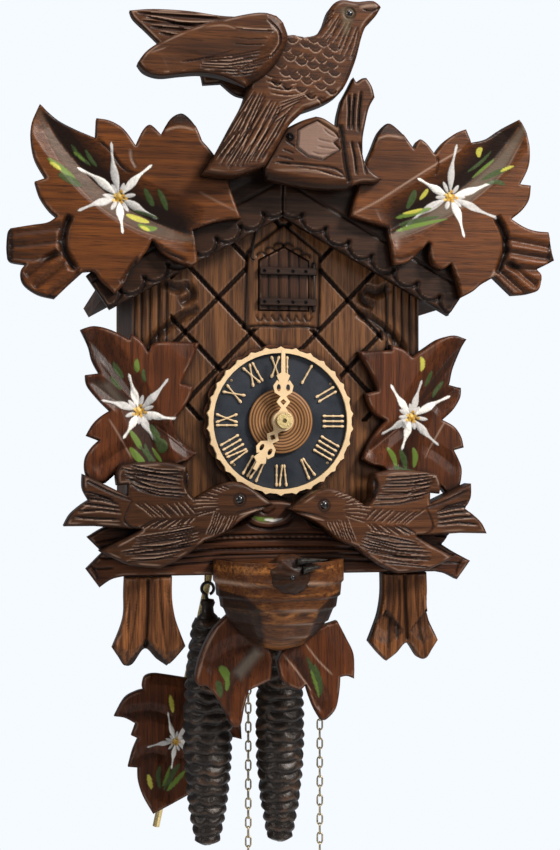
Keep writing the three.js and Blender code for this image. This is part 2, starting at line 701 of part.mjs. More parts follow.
// Two brass plates on four pillars, standing on the case floor, with a guide for the cuckoo's strip.
function movement() {
  const floor = CASE_FLOOR + BOARD + 0.7 + GAP;
  const front = block(-PLATE_HALF, PLATE_HALF, PLATE_FRONT_Y, PLATE_FRONT_Y + PLATE_T, floor, PLATE_TOP);
  const back = block(-PLATE_HALF, PLATE_HALF, PLATE_BACK_Y, PLATE_BACK_Y + PLATE_T, floor, PLATE_TOP);
  const pillars = [[-38, -64], [38, -64], [-38, 38], [38, 38]];
  const bars = pillars.map(([x, z]) => barY(x, z, 3, PLATE_FRONT_Y, PLATE_BACK_Y + PLATE_T, 12));
  const guide = (y) => block(-3, 9, y, y + PLATE_T, PLATE_TOP - 1, STRIP_Z - GAP);
  const guides = [guide(PLATE_FRONT_Y), guide(PLATE_BACK_Y)];
  const through = (x, z, r) => barY(x, z, r, PLATE_FRONT_Y - 2, PLATE_BACK_Y + 4, 12);
  const holes = [
    through(-SPROCKET_X, SPROCKET_Z, ARBOR_R + GAP),
    through(SPROCKET_X, SPROCKET_Z, ARBOR_R + GAP),
    through(0, 0, 2.4),
    through(0, ESCAPE_Z, 1.3),
    through(0, VERGE_Z, 1.3),
    barY(0, 0, 3.7, PLATE_FRONT_Y - 2, PLATE_FRONT_Y + 3, 16),
  ];
  return cut(join(front, back, ...bars, ...guides), ...holes);
}

// The chain wheel, its great wheel and their arbor.
function trainWheel(side) {
  const x = side * SPROCKET_X;
  const rim = CHAIN_PITCH_R - CHAIN_D / 2 - GAP;
  const arbor = barY(x, SPROCKET_Z, ARBOR_R, PLATE_FRONT_Y - 2, PLATE_BACK_Y + 3, 12);
  const sprocket = barY(x, SPROCKET_Z, rim, CHAIN_Y - 2.5, CHAIN_Y + 2.5);
  return join(arbor, sprocket, gear(18.6, 36, 1.5, -52, x, SPROCKET_Z));
}

const centreArbor = () => join(barY(0, 0, 2, -118.6, -40, 16), gear(15, 30, 1.2, -73, 0, 0));

function escapeWheel() {
  const arbor = barY(0, ESCAPE_Z, 1, PLATE_FRONT_Y - 1, PLATE_BACK_Y + 3, 8);
  return join(arbor, gear(8.6, 24, 1, -76, 0, ESCAPE_Z));
}

// The anchor over the escape wheel, and the crutch whose fork moves the pendulum's rod.
function verge() {
  const reach = VERGE_Z + 10;
  const arbor = barY(0, 0, 1, PLATE_FRONT_Y - 1, -35, 8);
  const pallets = [
    [-9, -9], [-7.4, -9.4], [-5, -3.4], [5, -3.4],
    [7.4, -9.4], [9, -9], [5.5, 0.5], [-5.5, 0.5],
  ];
  const anchor = plate(polygon(pallets), -75, -77.4);
  const arm = barZ(0, -36.5, 0.8, -reach, 0.8, 8);
  const yoke = block(-2.6, 2.6, -37.3, -35.7, -reach - 0.8, -reach + 0.8);
  const prongs = [-2, 2].map((x) => barY(x, -reach, 0.6, -36.5, -15.5, 8));
  const shape = join(arbor, anchor, arm, yoke, ...prongs);
  return shape.rotateY(THREE.MathUtils.degToRad(VERGE_SWING)).translate(0, 0, VERGE_Z);
}

function gong() {
  const turns = 3;
  const perTurn = 12;
  const points = [];
  for (let i = 0; i <= turns * perTurn; i += 1) {
    const angle = (i / perTurn) * Math.PI * 2;
    const r = 25 - (i / perTurn) * 4;
    points.push([36 - r * Math.cos(angle), -11, 14 - r * Math.sin(angle)]);
  }
  const stand = block(28, 44, -16, -BOARD - GAP, 51, 62);
  const clip = block(10.4, 12.4, -12, -10, 13, 18);
  const lead = wire([[11.3, -11, 15], [12.5, -11, 30], [20, -11, 44], [32, -11, 55]], 0.9, 14);
  return join(wire(points, 0.9, 60), stand, clip, lead);
}

// The hammer that rests just clear of the gong's outer turn.
function hammer() {
  const { x, foot, head, y } = HAMMER;
  const stem = barZ(x, -22, 0.9, foot, head, 8);
  const striker = new THREE.CylinderGeometry(3, 3, 6, 14).rotateZ(Math.PI / 2).translate(x, y, head);
  const neck = barY(x, head, 1.2, -22.5, y, 8);
  return join(stem, striker, neck, barY(x, foot, 1.6, -30, y, 12));
}

// A wooden whistle with its bellows on top, against the case side.
function whistle(side) {
  const inner = 52;
  const width = 20.5;
  const top = 26;
  const pipe = block(inner, inner + width, -60, -36, CASE_FLOOR + BOARD + 1, top);
  const mouth = block(70, 74, -57, -39, 4, 10);
  const wedge = polygon([[-84, top], [-36, top], [-36, top + 4], [-84, top + 13]]);
  const bellows = new THREE.ExtrudeGeometry(wedge, { depth: width, bevelEnabled: false });
  bellows.rotateX(Math.PI / 2).rotateZ(Math.PI / 2).translate(inner, 0, 0);
  const solid = cut(join(pipe, bellows), mouth);
  return side > 0 ? solid : flipX(solid);
}

function flipX(geometry) {
  const flipped = geometry.clone().scale(-1, 1, 1);
  const order = flipped.index.array;
  for (let i = 0; i < order.length; i += 3) {
    [order[i], order[i + 1]] = [order[i + 1], order[i]];
  }
  flipped.computeVertexNormals();
  return flipped;
}

// ---- pendulum -----------------------------------------------------------------------------------
// Half of the leaf as [distance from the stem, distance below the pivot]; the other half mirrors it.
const PENDULUM_HALF = [
  [[14, 180.4], [21, 181], [25.5, 183.5], [26, 188.5], [25, 191]],
  [[29, 193], [34.5, 198], [38, 209]],
  [[31.5, 209], [25, 211]],
  [[26, 218]],
  [[22, 219]],
  [[23.5, 226.5], [24, 236]],
  [[18.5, 235.5]],
  [[16.5, 243], [12, 251], [4, 260]],
];

const hung = (geometry) => geometry.rotateY(THREE.MathUtils.degToRad(SWING)).translate(0, 0, PIVOT.z);

function pendulumLeaf() {
  const left = PENDULUM_HALF.map((run) => run.map(([u, v]) => [-u, -v]));
  const right = PENDULUM_HALF.slice(0, -1).map((run) => run.map(([u, v]) => [u, -v]).reverse()).reverse();
  const lowerRight = [[10, -249], [16.5, -243], [18.5, -235.5]];
  const shape = outline([[[0, -180]], ...left, lowerRight, ...joinRuns(right), [[0, -180]]]);
  return hung(plate(shape, PIVOT.y - 2.4, PIVOT.y - 7.4));
}

// Runs read backwards start with the point that the run before them ended on, so it is dropped.
function joinRuns(runs) {
  const toNext = (run, i) => [...run.slice(1), ...runs.slice(i + 1, i + 2).map((next) => next[0])];
  return runs.map(toNext).filter((run) => run.length > 0);
}

function pendulumRod() {
  const eye = plate(ringShape(3, 1.5), PIVOT.y + 0.9, PIVOT.y - 0.9, 10);
  const leader = barZ(0, PIVOT.y, 0.9, -122, -2.4, 8);
  const stick = barZ(0, PIVOT.y, 2, -268, -118, 10);
  return hung(join(eye, leader, stick));
}

function pendulumBracket() {
  const strap = block(-5, 5, -9, -BOARD - GAP, 24, 60);
  return join(strap, barY(0, PIVOT.z, 1.2, -24, -8, 12));
}

// ---- weights and chains -------------------------------------------------------------------------
// A cast pine cone: rows of scales that swell, then taper to the tip, under a stem and a hook.
function pineCone(x) {
  const rows = 22;
  const length = CONE_TOP - CONE_FOOT;
  const swell = (t) => 14 * Math.pow(Math.sin(Math.PI * (0.16 + 0.745 * t ** 1.12)), 0.62);
  const profile = [[0, CONE_FOOT]];
  for (let i = rows - 1; i >= 0; i -= 1) {
    const lip = Math.max(1.5, swell((i + 0.9) / rows));
    const root = Math.max(2, swell((i + 0.3) / rows) * 0.9);
    profile.push([lip, CONE_TOP - (length * (i + 1)) / rows + 1.5]);
    profile.push([root, CONE_TOP - (length * (i + 0.25)) / rows]);
  }
  profile.push([4.5, CONE_TOP + 1], [4, -99], [0, -98]);
  const hook = plate(ringShape(4.4, 2.6), CHAIN_Y + 1, CHAIN_Y - 1, 8).translate(x, 0, -92.6);
  return join(turned(profile, 14).translate(x, CHAIN_Y, 0), hook, barZ(x, CHAIN_Y, 1.5, -99, -96, 8));
}

// The plain round bar that stands for a straight run of chain.
function chainRun(x, z0, z1) {
  const section = new THREE.Shape().absarc(x, CHAIN_Y, CHAIN_D / 2, 0, Math.PI * 2);
  const steps = Math.ceil((z1 - z0) / 9);
  const options = { depth: z1 - z0, steps, bevelEnabled: false, curveSegments: 4 };
  return new THREE.ExtrudeGeometry(section, options).translate(0, 0, z0);
}

// The rest of a chain, folded up and tied: round-ended in front view.
function hank(x) {
  const half = HANK.width / 2;
  const foot = HANK.top - HANK.height;
  const shape = new THREE.Shape();
  shape.absarc(x, HANK.top - half, half, 0, Math.PI);
  shape.absarc(x, foot + half, half, Math.PI, Math.PI * 2);
  return plate(shape, CHAIN_Y + HANK.depth / 2, CHAIN_Y - HANK.depth / 2, 8);
}

function pullRing(x) {
  const foot = HANK.top - HANK.height;
  return plate(ringShape(7, 5.2), CHAIN_Y + 0.9, CHAIN_Y - 0.9, 12).translate(x, 0, foot - 7 - GAP);
}

// ---- assembly -----------------------------------------------------------------------------------
add('case_front', caseFront(), lightWalnut);
add('case_side_left', caseSide(-1), darkWalnut);
add('case_side_right', caseSide(1), darkWalnut);
add('case_bottom', caseBottom(), plainWood);
add('roof_left', roofBoard(-1), darkWalnut);
add('roof_right', roofBoard(1), darkWalnut);
add('back_gable', backGable(), plainWood);
add('back_bottom_bar', backBottomBar(), plainWood);
add('back_door', backDoor(), plainWood);
add('fascia_left', fascia(-1), darkWalnut);
add('fascia_right', fascia(1), darkWalnut);
add('crown_leaf_left', plate(outline(CROWN_LEAF_LEFT), CROWN_BACK, CROWN_FRONT), redWalnut);
add('crown_leaf_right', plate(outline(CROWN_LEAF_RIGHT), CROWN_BACK, CROWN_FRONT), redWalnut);
add('crown_branch', crownBranch(), darkWalnut);
add('top_bird_body', topBirdBody(), darkWalnut);
add('top_bird_wing_near', carvedPlate(outline(TOP_WING_NEAR), -142.9, -147.5), darkWalnut);
add('top_bird_wing_far', carvedPlate(outline(TOP_WING_FAR), -121.1, CROWN_FRONT), darkWalnut);
add('side_leaf_left', plate(outline(SIDE_LEAF_LEFT), CARVED_BACK, CARVED_FRONT), redWalnut);
add('side_leaf_right', plate(outline(SIDE_LEAF_RIGHT), CARVED_BACK, CARVED_FRONT), redWalnut);
add('base_rail', plate(outline(BASE_RAIL), CARVED_BACK, CARVED_FRONT), darkWalnut);
add('foot_left', plate(outline(FOOT), CARVED_BACK, CARVED_FRONT), lightWalnut);
add('foot_right', plate(outline(mirrored(FOOT, { dx: -2.2 })), CARVED_BACK, CARVED_FRONT), lightWalnut);
add('bird_left', sideBird(SIDE_BIRD, [-24.5, -122, -41]), darkWalnut);
add('bird_right', sideBird(mirrored(SIDE_BIRD, RIGHT_BIRD_PLACE), [20.3, -122, -44.2]), darkWalnut);
add('nest', nest(), lightWalnut);
add('nest_leaf_left', plate(outline(NEST_LEAF_LEFT), -105, CARVED_FRONT), redWalnut);
add('nest_leaf_right', plate(outline(NEST_LEAF_RIGHT), -105, CARVED_FRONT), redWalnut);
add('nest_chick', nestChick(), darkWalnut);
add('dial_board', dialBoard(), darkWalnut);
add('dial_face', dialFace(), slate);
add('dial_ring', dialRing(), ivory);
add('hour_hand', hourHand(), ivory);
add('minute_hand', minuteHand(), ivory);
add('hand_nut', handNut(), brass);
add('cuckoo_door', cuckooDoor(), darkWalnut);
add('door_latch', doorLatch(), steel);
add('cuckoo_bird', cuckooBird(), redWalnut);
add('movement', movement(), brass);
add('time_wheel', trainWheel(-1), brass);
add('strike_wheel', trainWheel(1), brass);
add('centre_arbor', centreArbor(), brass);
add('escape_wheel', escapeWheel(), brass);
add('verge', verge(), steel);
add('pendulum_bracket', pendulumBracket(), steel);
add('pendulum_rod', pendulumRod(), brass);
add('pendulum_leaf', pendulumLeaf(), redWalnut);
add('gong', gong(), steel);
add('hammer', hammer(), steel);
add('whistle_left', whistle(-1), plainWood);
add('whistle_right', whistle(1), plainWood);
for (const [side, name] of [[-1, 'left'], [1, 'right']]) {
  // Each pair hangs from its own wheel: the cone on the left-hand run, the free end on the right-hand one.
  const coneX = side * SPROCKET_X - CHAIN_PITCH_R;
  const freeX = side * SPROCKET_X + CHAIN_PITCH_R;
  add(`weight_${name}`, pineCone(coneX), castIron);
  add(`chain_${name}_weight`, chainRun(coneX, -87.9, SPROCKET_Z), brass);
  add(`chain_${name}_free`, chainRun(freeX, HANK.top + GAP, SPROCKET_Z), brass);
  add(`chain_${name}_hank`, hank(freeX), brass);
  add(`chain_${name}_ring`, pullRing(freeX), brass);
}

clock.position.z = -HANG_Z;
const root = new THREE.Group();
root.add(clock);
export default root;
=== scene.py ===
"""Carved cuckoo clock: carved walnut, painted flowers, dial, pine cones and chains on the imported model.

Places inside the clock are written in millimetres from the dial's centre, with x to the right and z up;
y is the depth, and the wall is at 0. at() turns them into metres in the row's frame.
"""
import math

import bpy
import numpy as np
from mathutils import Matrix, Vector
from mathutils.geometry import delaunay_2d_cdt


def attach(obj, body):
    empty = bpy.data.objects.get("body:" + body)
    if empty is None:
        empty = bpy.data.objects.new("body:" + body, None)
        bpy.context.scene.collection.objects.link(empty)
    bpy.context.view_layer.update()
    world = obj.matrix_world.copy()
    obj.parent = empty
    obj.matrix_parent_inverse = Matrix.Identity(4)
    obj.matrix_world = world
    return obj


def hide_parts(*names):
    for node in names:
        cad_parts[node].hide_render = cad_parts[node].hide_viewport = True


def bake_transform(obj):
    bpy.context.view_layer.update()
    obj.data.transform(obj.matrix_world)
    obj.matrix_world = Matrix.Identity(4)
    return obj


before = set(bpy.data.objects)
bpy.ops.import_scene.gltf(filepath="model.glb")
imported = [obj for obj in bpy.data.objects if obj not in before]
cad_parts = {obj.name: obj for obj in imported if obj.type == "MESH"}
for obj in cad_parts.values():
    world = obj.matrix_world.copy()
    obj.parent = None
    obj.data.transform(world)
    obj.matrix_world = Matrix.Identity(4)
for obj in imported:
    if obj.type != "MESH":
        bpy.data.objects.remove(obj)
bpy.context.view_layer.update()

MM = 0.001
HANG_Z = 80  # the wall origin above the dial's centre
SLOPE = 0.56  # the roof's fall for each millimetre outwards
RNG = np.random.default_rng(7)


def at(x, y, z):
    return Vector((x * MM, y * MM, (z - HANG_Z) * MM))


# ---- camera, world, lights and floor ---------------------------------------------------------------
CAMERA_LENS = 62.33
CAMERA_PLACE = (-0.1493, -0.877, -0.0948)  # metres
CAMERA_TURN = (90.934, 0, -11)  # degrees
SKY = (0.835, 0.875, 0.925, 1)
SKY_LIGHT, SKY_SEEN = 0.26, 1.1  # how strongly the sky lights the clock, and how bright it looks


def camera():
    data = bpy.data.cameras.new("camera")
    data.sensor_fit = "VERTICAL"
    data.sensor_height = 36
    data.lens = CAMERA_LENS
    data.clip_start = 0.05
    seen = bpy.data.objects.new("camera", data)
    seen.location = CAMERA_PLACE
    seen.rotation_euler = [math.radians(a) for a in CAMERA_TURN]
    bpy.context.scene.collection.objects.link(seen)
    bpy.context.scene.camera = seen


def lamp(name, place, aim, size, watts, colour):
    data = bpy.data.lights.new(name, "AREA")
    data.shape = "DISK"
    data.size = size
    data.energy = watts
    data.color = colour
    light = bpy.data.objects.new(name, data)
    light.location = place
    light.rotation_euler = (Vector(aim) - Vector(place)).to_track_quat("-Z", "Y").to_euler()
    bpy.context.scene.collection.objects.link(light)


def studio():
    world = bpy.data.worlds.new("world")
    bpy.context.scene.world = world
    world.use_nodes = True
    tree = world.node_tree
    back = tree.nodes["Background"]
    back.inputs["Color"].default_value = SKY
    seen = tree.nodes.new("ShaderNodeLightPath").outputs["Is Camera Ray"]
    strength = tree.nodes.new("ShaderNodeMapRange")
    strength.inputs["To Min"].default_value = SKY_LIGHT
    strength.inputs["To Max"].default_value = SKY_SEEN
    tree.links.new(seen, strength.inputs["Value"])
    tree.links.new(strength.outputs["Result"], back.inputs["Strength"])
    bpy.context.scene.view_settings.view_transform = "Standard"
    middle = (0, -0.1, -0.08)
    lamp("key", (0.85, -1.0, 0.85), middle, 0.4, 34, (1, 0.96, 0.91))
    lamp("sheen", (0.5, -1.3, 0.18), middle, 0.5, 2.4, (1, 0.95, 0.9))
    lamp("left", (-1.3, -0.8, 0.35), middle, 0.7, 8, (1, 0.98, 0.96))
    lamp("top", (0.1, -0.45, 1.2), middle, 0.6, 7, (0.95, 0.97, 1))
    floor = box_mesh("floor", (-0.6, -0.75, -0.55), (0.6, 0.45, -0.54))
    floor.data.materials.append(plain(
        "floor_paint", (0.80, 0.82, 0.84), 0.75, spread=0.01, grain=(4, 4, 4),
    ))


# ---- mesh helpers ----------------------------------------------------------------------------------
def mesh_object(name, verts, faces, smooth=True):
    mesh = bpy.data.meshes.new(name)
    mesh.from_pydata([tuple(v) for v in verts], [], [tuple(f) for f in faces])
    mesh.update()
    mesh.shade_smooth() if smooth else mesh.shade_flat()
    thing = bpy.data.objects.new(name, mesh)
    bpy.context.scene.collection.objects.link(thing)
    return thing


def box_mesh(name, low, high):
    corners = [(x, y, z) for x in (low[0], high[0]) for y in (low[1], high[1]) for z in (low[2], high[2])]
    faces = [(0, 1, 3, 2), (4, 6, 7, 5), (0, 4, 5, 1), (2, 3, 7, 6), (0, 2, 6, 4), (1, 5, 7, 3)]
    return mesh_object(name, corners, faces, smooth=False)


def catmull(p0, p1, p2, p3, t):
    v0, v1 = (p2 - p0) * 0.5, (p3 - p1) * 0.5
    return (2 * p1 - 2 * p2 + v0 + v1) * t**3 + (3 * p2 - 3 * p1 - 2 * v0 - v1) * t**2 + v0 * t + p1


def smooth_run(points, per_span=5):
    """Points along a uniform Catmull-Rom curve through all the given points."""
    p = [np.array(q, float) for q in points]
    out = [p[0]]
    for i in range(len(p) - 1):
        before, after = p[max(i - 1, 0)], p[min(i + 2, len(p) - 1)]
        out += [catmull(before, p[i], p[i + 1], after, k / per_span) for k in range(1, per_span + 1)]
    return out


def pts(text):
    """A list of points from text with the two numbers of each point joined by a comma."""
    return [tuple(float(v) for v in pair.split(",")) for pair in text.split()]


def runs_of(text):
    """Runs of points, with a stroke between the runs."""
    return [pts(run) for run in text.split("/")]


def outline(runs):
    """Closed outline: a start point, then smooth runs that meet at sharp corners."""
    points = [np.array(runs[0][0], float)]
    for run in runs[1:]:
        points += smooth_run([points[-1], *run])[1:] if len(run) > 1 else [np.array(run[0], float)]
    if np.linalg.norm(points[0] - points[-1]) < 1e-6:
        points.pop()
    loop = np.array(points)
    area = np.sum(loop[:, 0] * np.roll(loop[:, 1], -1) - np.roll(loop[:, 0], -1) * loop[:, 1])
    return loop if area > 0 else loop[::-1]


def resample(loop, step):
    out = []
    for a, b in zip(loop, np.roll(loop, -1, axis=0)):
        n = max(1, int(np.ceil(np.linalg.norm(b - a) / step)))
        out += [a + (b - a) * k / n for k in range(n)]
    return np.array(out)


def line_distance(points, line, closed=False):
    """Distance from each point to a polyline, its share of the length there, and its side (left is +)."""
    line = np.array(line, float)
    ends = np.vstack([line, line[:1]]) if closed else line
    a, b = ends[:-1], ends[1:]
    run = b - a
    length = np.maximum(np.linalg.norm(run, axis=1), 1e-9)
    start = np.concatenate([[0], np.cumsum(length)[:-1]])
    best = np.full(len(points), 1e9)
    share = np.zeros(len(points))
    side = np.ones(len(points))
    for i in range(len(a)):
        rel = points - a[i]
        t = np.clip(rel @ run[i] / length[i] ** 2, 0, 1)
        gap = np.linalg.norm(rel - t[:, None] * run[i], axis=1)
        nearer = gap < best
        best[nearer] = gap[nearer]
        share[nearer] = ((start[i] + t * length[i]) / length.sum())[nearer]
        cross = run[i][0] * rel[:, 1] - run[i][1] * rel[:, 0]
        side[nearer] = np.where(cross >= 0, 1, -1)[nearer]
    return best, share, side


def inside(points, loop):
    x, z = points[:, 0], points[:, 1]
    hit = np.zeros(len(points), bool)
    for (x0, z0), (x1, z1) in zip(loop, np.roll(loop, -1, axis=0)):
        crosses = (z0 > z) != (z1 > z)
        with np.errstate(divide="ignore", invalid="ignore"):
            hit ^= crosses & (x < (x1 - x0) * (z - z0) / (z1 - z0 + 1e-12) + x0)
    return hit


def grid(low, high, step):
    """Points in rows that are shifted by half a step, so that they make nearly equal triangles."""
    row = 0.866
    xs = np.arange(low[0], high[0], step)
    zs = np.arange(low[1], high[1], step * row)
    gx, gz = np.meshgrid(xs, zs)
    gx = gx + (np.arange(len(zs)) % 2)[:, None] * step / 2
    return np.column_stack([gx.ravel(), gz.ravel()])


# A petal's half width at shares of its length.
PETAL = (
    [0, 0.1, 0.28, 0.4, 0.6, 0.72, 0.88, 0.96, 1],
    [0.1, 0.35, 0.95, 0.95, 0.4, 0.28, 0.4, 0.34, 0.1],
)


class Carving:
    """The front surface of a carved plate: how deep it is cut, its tone of stain, painted shade and painted
    highlight, and what is painted.
    """

    def __init__(self, loop, step, fine, holes=()):
        self.loop = loop
        self.holes = holes
        rim = resample(loop, step)
        cuts = [resample(hole, step) for hole in holes]
        cloud = grid(loop.min(0), loop.max(0), step)
        for x, z, radius, fine_step in fine:
            far = np.hypot(cloud[:, 0] - x, cloud[:, 1] - z) > radius
            patch = grid((x - radius, z - radius), (x + radius, z + radius), fine_step)
            near = np.hypot(patch[:, 0] - x, patch[:, 1] - z) <= radius
            cloud = np.vstack([cloud[far], patch[near]])
        cloud = cloud[inside(cloud, loop)]
        for ring in (loop, *holes):
            gap, _, _ = line_distance(cloud, ring, closed=True)
            cloud = cloud[gap > step * 0.45]
        for hole in holes:
            cloud = cloud[~inside(cloud, hole)]
        self.p = np.vstack([rim, *cuts, cloud])
        self.rings, start = [], 0
        for ring in (rim, *cuts):
            self.rings.append(list(range(start, start + len(ring))))
            start += len(ring)
        edges = [(a, b) for ring in self.rings for a, b in zip(ring, ring[1:] + ring[:1])]
        coords = [Vector(q) for q in self.p]
        verts, _, faces, _, _, _ = delaunay_2d_cdt(coords, edges, [self.rings[0]], 1, 1e-5)
        self.p = np.array([tuple(v) for v in verts])
        middles = np.array([self.p[list(f)].mean(0) for f in faces])
        open_ = np.zeros(len(faces), bool)
        for hole in holes:
            open_ |= inside(middles, hole)
        self.faces = [f for f, gone in zip(faces, open_) if not gone]
        self.edge_gap, _, _ = line_distance(self.p, loop, closed=True)
        self.depth = np.zeros(len(self.p))
        self.tone = np.zeros(len(self.p))
        self.paint = np.zeros((len(self.p), 4))

    def edge(self, radius, drop=None, dark=0.35, wear_and_glint=0.4):
        """Round the rim over, darkened with stain and painted shade, with a broken light line of rubbed-off
        stain and painted highlight along it.
        """
        drop = radius if drop is None else drop
        u = np.clip(1 - self.edge_gap / radius, 0, 1)
        self.depth += drop * (1 - np.sqrt(1 - u**2 * 0.999))
        # stain and painted shade on the rounded rim
        self.tone += dark * u**2
        # a broken light line along the rim: worn stain and painted highlight
        patches = np.sin(self.p[:, 0] * 0.31 + 1.7) * np.sin(self.p[:, 1] * 0.37) + 0.35
        line = np.exp(-(((self.edge_gap - radius * 0.75) / 0.4) ** 2))
        self.tone -= wear_and_glint * line * np.clip(patches * 1.5, 0, 1)

    def groove(self, line, width=1.2, depth=0.9, dark=0.7, taper=0.15, glint=0.0):
        """A V-shaped cut: dark above 0 fills it with stain and painted shade, dark below 0 paints a highlight
        along it; glint is how bright the painted highlight on the worn edge along its right side is.
        """
        gap, share, side = line_distance(self.p, line)
        cut = np.clip(1 - gap / (width / 2), 0, 1)
        ends = np.clip(np.minimum(share, 1 - share) / taper, 0, 1) ** 0.5 if taper else 1
        cut = cut * ends
        # glint: a light line beside the cut, a painted highlight on the worn edge
        if glint:
            worn = np.exp(-(((gap * -side - width * 0.55) / 0.38) ** 2)) * ends
            self.tone -= glint * worn
            self.depth -= 0.12 * worn
        self.depth += depth * cut
        # stain and painted shade in the cut, or a painted highlight along it where dark is below 0
        if dark > 0:
            self.tone = np.where(cut > 0.02, np.maximum(self.tone, dark * cut**0.7), self.tone)
        else:
            self.tone += dark * cut

    def curve(self, line, **how):
        self.groove(smooth_run(line, 6), **how)

    def comb(self, first, last, count, **how):
        """Strokes from places along one guide line to the matching places along another."""
        a, b = np.array(smooth_run(first, 8)), np.array(smooth_run(last, 8))
        for i in range(count):
            t = (i + 0.5) / count
            u = np.clip(t + RNG.uniform(-0.18, 0.18) / count, 0, 1)
            p = a[int(t * (len(a) - 1))]
            q = b[int(u * (len(b) - 1))]
            bow = np.array([-(q - p)[1], (q - p)[0]]) * RNG.uniform(-0.02, 0.05)
            start = p + (q - p) * RNG.uniform(0, 0.12)
            end = q - (q - p) * RNG.uniform(0, 0.12)
            self.groove([start, (start + end) / 2 + bow, end], **how)

    def trough(self, line, left, right, depth, left_tone=0, right_tone=0, taper=0.12):
        """A long V with a facet on each side, whose tone fades outwards: painted shade above 0, painted
        highlight below 0.

        A width of 0 leaves that side alone.
        """
        gap, share, side = line_distance(self.p, smooth_run(line, 6))
        ends = np.clip(np.minimum(share, 1 - share) / taper, 0, 1) ** 0.6 if taper else 1
        for way, width, tone in ((1, left, left_tone), (-1, right, right_tone)):
            if width:
                cut = np.where(side == way, np.clip(1 - gap / width, 0, 1), 0) * ends
                self.depth += depth * cut
                # painted shade on the facet where its tone is above 0, painted highlight where it is below 0
                self.tone += tone * np.clip(cut * 1.6, 0, 1) ** 0.8

    def slope(self, line, reach, depth, tone=0):
        """Everything left of the line falls away from it, with painted shade on the falling part."""
        gap, share, side = line_distance(self.p, smooth_run(line, 6))
        cut = np.where((side > 0) & (share > 0.002) & (share < 0.998), np.clip(gap / reach, 0, 1), 0)
        self.depth += depth * cut
        # painted shade on the part that falls away
        self.tone += tone * np.clip(cut * 6, 0, 1)

    def hill(self, x, z, rx, rz, height):
        u = ((self.p[:, 0] - x) / rx) ** 2 + ((self.p[:, 1] - z) / rz) ** 2
        self.depth -= height * np.clip(1 - u, 0, 1) ** 1.5

    def brush(self, shape, colour, lift=0.0, strength=1.0, soft=0.35):
        """Paint inside a closed shape, and raise it a little with a round edge."""
        shape = np.array(shape)
        near = np.all((self.p > shape.min(0) - 1) & (self.p < shape.max(0) + 1), axis=1)
        if not near.any():
            return
        q = self.p[near]
        gap, _, _ = line_distance(q, shape, closed=True)
        signed = np.where(inside(q, shape), gap, -gap)
        cover = np.clip(signed / soft + 0.5, 0, 1) * strength
        self.depth[near] -= lift * np.clip(signed / 1.2, 0, 1) ** 0.5
        old = self.paint[near]
        colour = np.array([*colour, 1.0])
        self.paint[near] = old * (1 - cover[:, None]) + colour * cover[:, None]

    def stroke(self, line, width, colour, lift=0.0, strength=1.0, waist=0.0):
        """A brush stroke that narrows to both ends, or a petal with a waist before its tip."""
        line = np.array(smooth_run(line, 5))
        t = np.linspace(0, 1, len(line))
        if waist:
            half = np.interp(t, *PETAL)
        else:
            half = np.sin(np.pi * np.clip(t * 0.94 + 0.04, 0, 1)) ** 0.7
        along = np.gradient(line, axis=0)
        normal = np.column_stack([-along[:, 1], along[:, 0]])
        normal /= np.maximum(np.linalg.norm(normal, axis=1), 1e-9)[:, None]
        offset = normal * (half * width / 2)[:, None]
        self.brush(np.vstack([line + offset, (line - offset)[::-1]]), colour, lift, strength)

    def build(self, name, back, front):
        """Close the plate: the carved front, its side walls, and a flat back."""
        depth = np.clip(self.depth, 0.0, back - front - 0.8)
        n = len(self.p)
        verts = [at(x, front + d, z) for (x, z), d in zip(self.p, depth)]
        faces = [tuple(f) for f in self.faces]
        caps = []
        for ring in self.rings:
            base, size = len(verts), len(ring)
            verts += [at(self.p[i][0], front + depth[i], self.p[i][1]) for i in ring]
            verts += [at(self.p[i][0], back, self.p[i][1]) for i in ring]
            for k in range(size):
                m = (k + 1) % size
                if ring is self.rings[0]:
                    faces.append((base + m, base + k, base + size + k, base + size + m))
                else:
                    faces.append((base + k, base + m, base + size + m, base + size + k))
            caps += range(base + size, base + 2 * size)
        if len(self.rings) == 1:
            faces.append(tuple(reversed(caps)))
        else:
            flat = [Vector((verts[i].x, verts[i].z)) for i in caps]
            behind = delaunay_2d_cdt(flat, *self.back_edges(), 1, 1e-9)[2]
            faces += [tuple(caps[i] for i in reversed(f)) for f in behind if not self.in_hole(verts, caps, f)]
        thing = mesh_object(name, verts, faces)
        rest = len(verts) - n
        self.store(thing.data, "tone", np.concatenate([self.tone, np.full(rest, 0.45)]))
        paint = thing.data.attributes.new("paint", "FLOAT_COLOR", "POINT")
        paint.data.foreach_set("color", np.vstack([self.paint, np.zeros((rest, 4))]).ravel())
        return thing

    def back_edges(self):
        edges, start = [], 0
        for ring in self.rings:
            edges += [(start + k, start + (k + 1) % len(ring)) for k in range(len(ring))]
            start += len(ring)
        return edges, [list(range(len(self.rings[0])))]

    def in_hole(self, verts, caps, face):
        spot = sum((verts[caps[i]] for i in face), Vector((0, 0, 0))) / len(face)
        middle = np.array([[spot.x / MM, spot.z / MM + HANG_Z]])
        return any(inside(middle, hole)[0] for hole in self.holes)

    @staticmethod
    def bare(mesh):
        """No paint anywhere."""
        paint = mesh.attributes.new("paint", "FLOAT_COLOR", "POINT")
        paint.data.foreach_set("color", np.zeros(4 * len(mesh.vertices), np.float32))

    @staticmethod
    def store(mesh, name, values):
        layer = mesh.attributes.new(name, "FLOAT", "POINT")
        layer.data.foreach_set("value", np.asarray(values, np.float32))


def finish(piece, material, body, *nodes):
    """Give a piece its material, let it stand for CAD nodes and ride on a body."""
    piece.data.materials.append(material)
    if nodes:
        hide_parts(*nodes)
    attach(piece, body)


def carved(name, node, loop, depths, material, work, body="case", step=0.85, fine=(), holes=()):
    """Cut one plate, replace its CAD node and let it ride on that node's body."""
    cut = Carving(loop, step, fine, holes)
    work(cut)
    piece = cut.build(name, *depths)
    finish(piece, material, body, node)


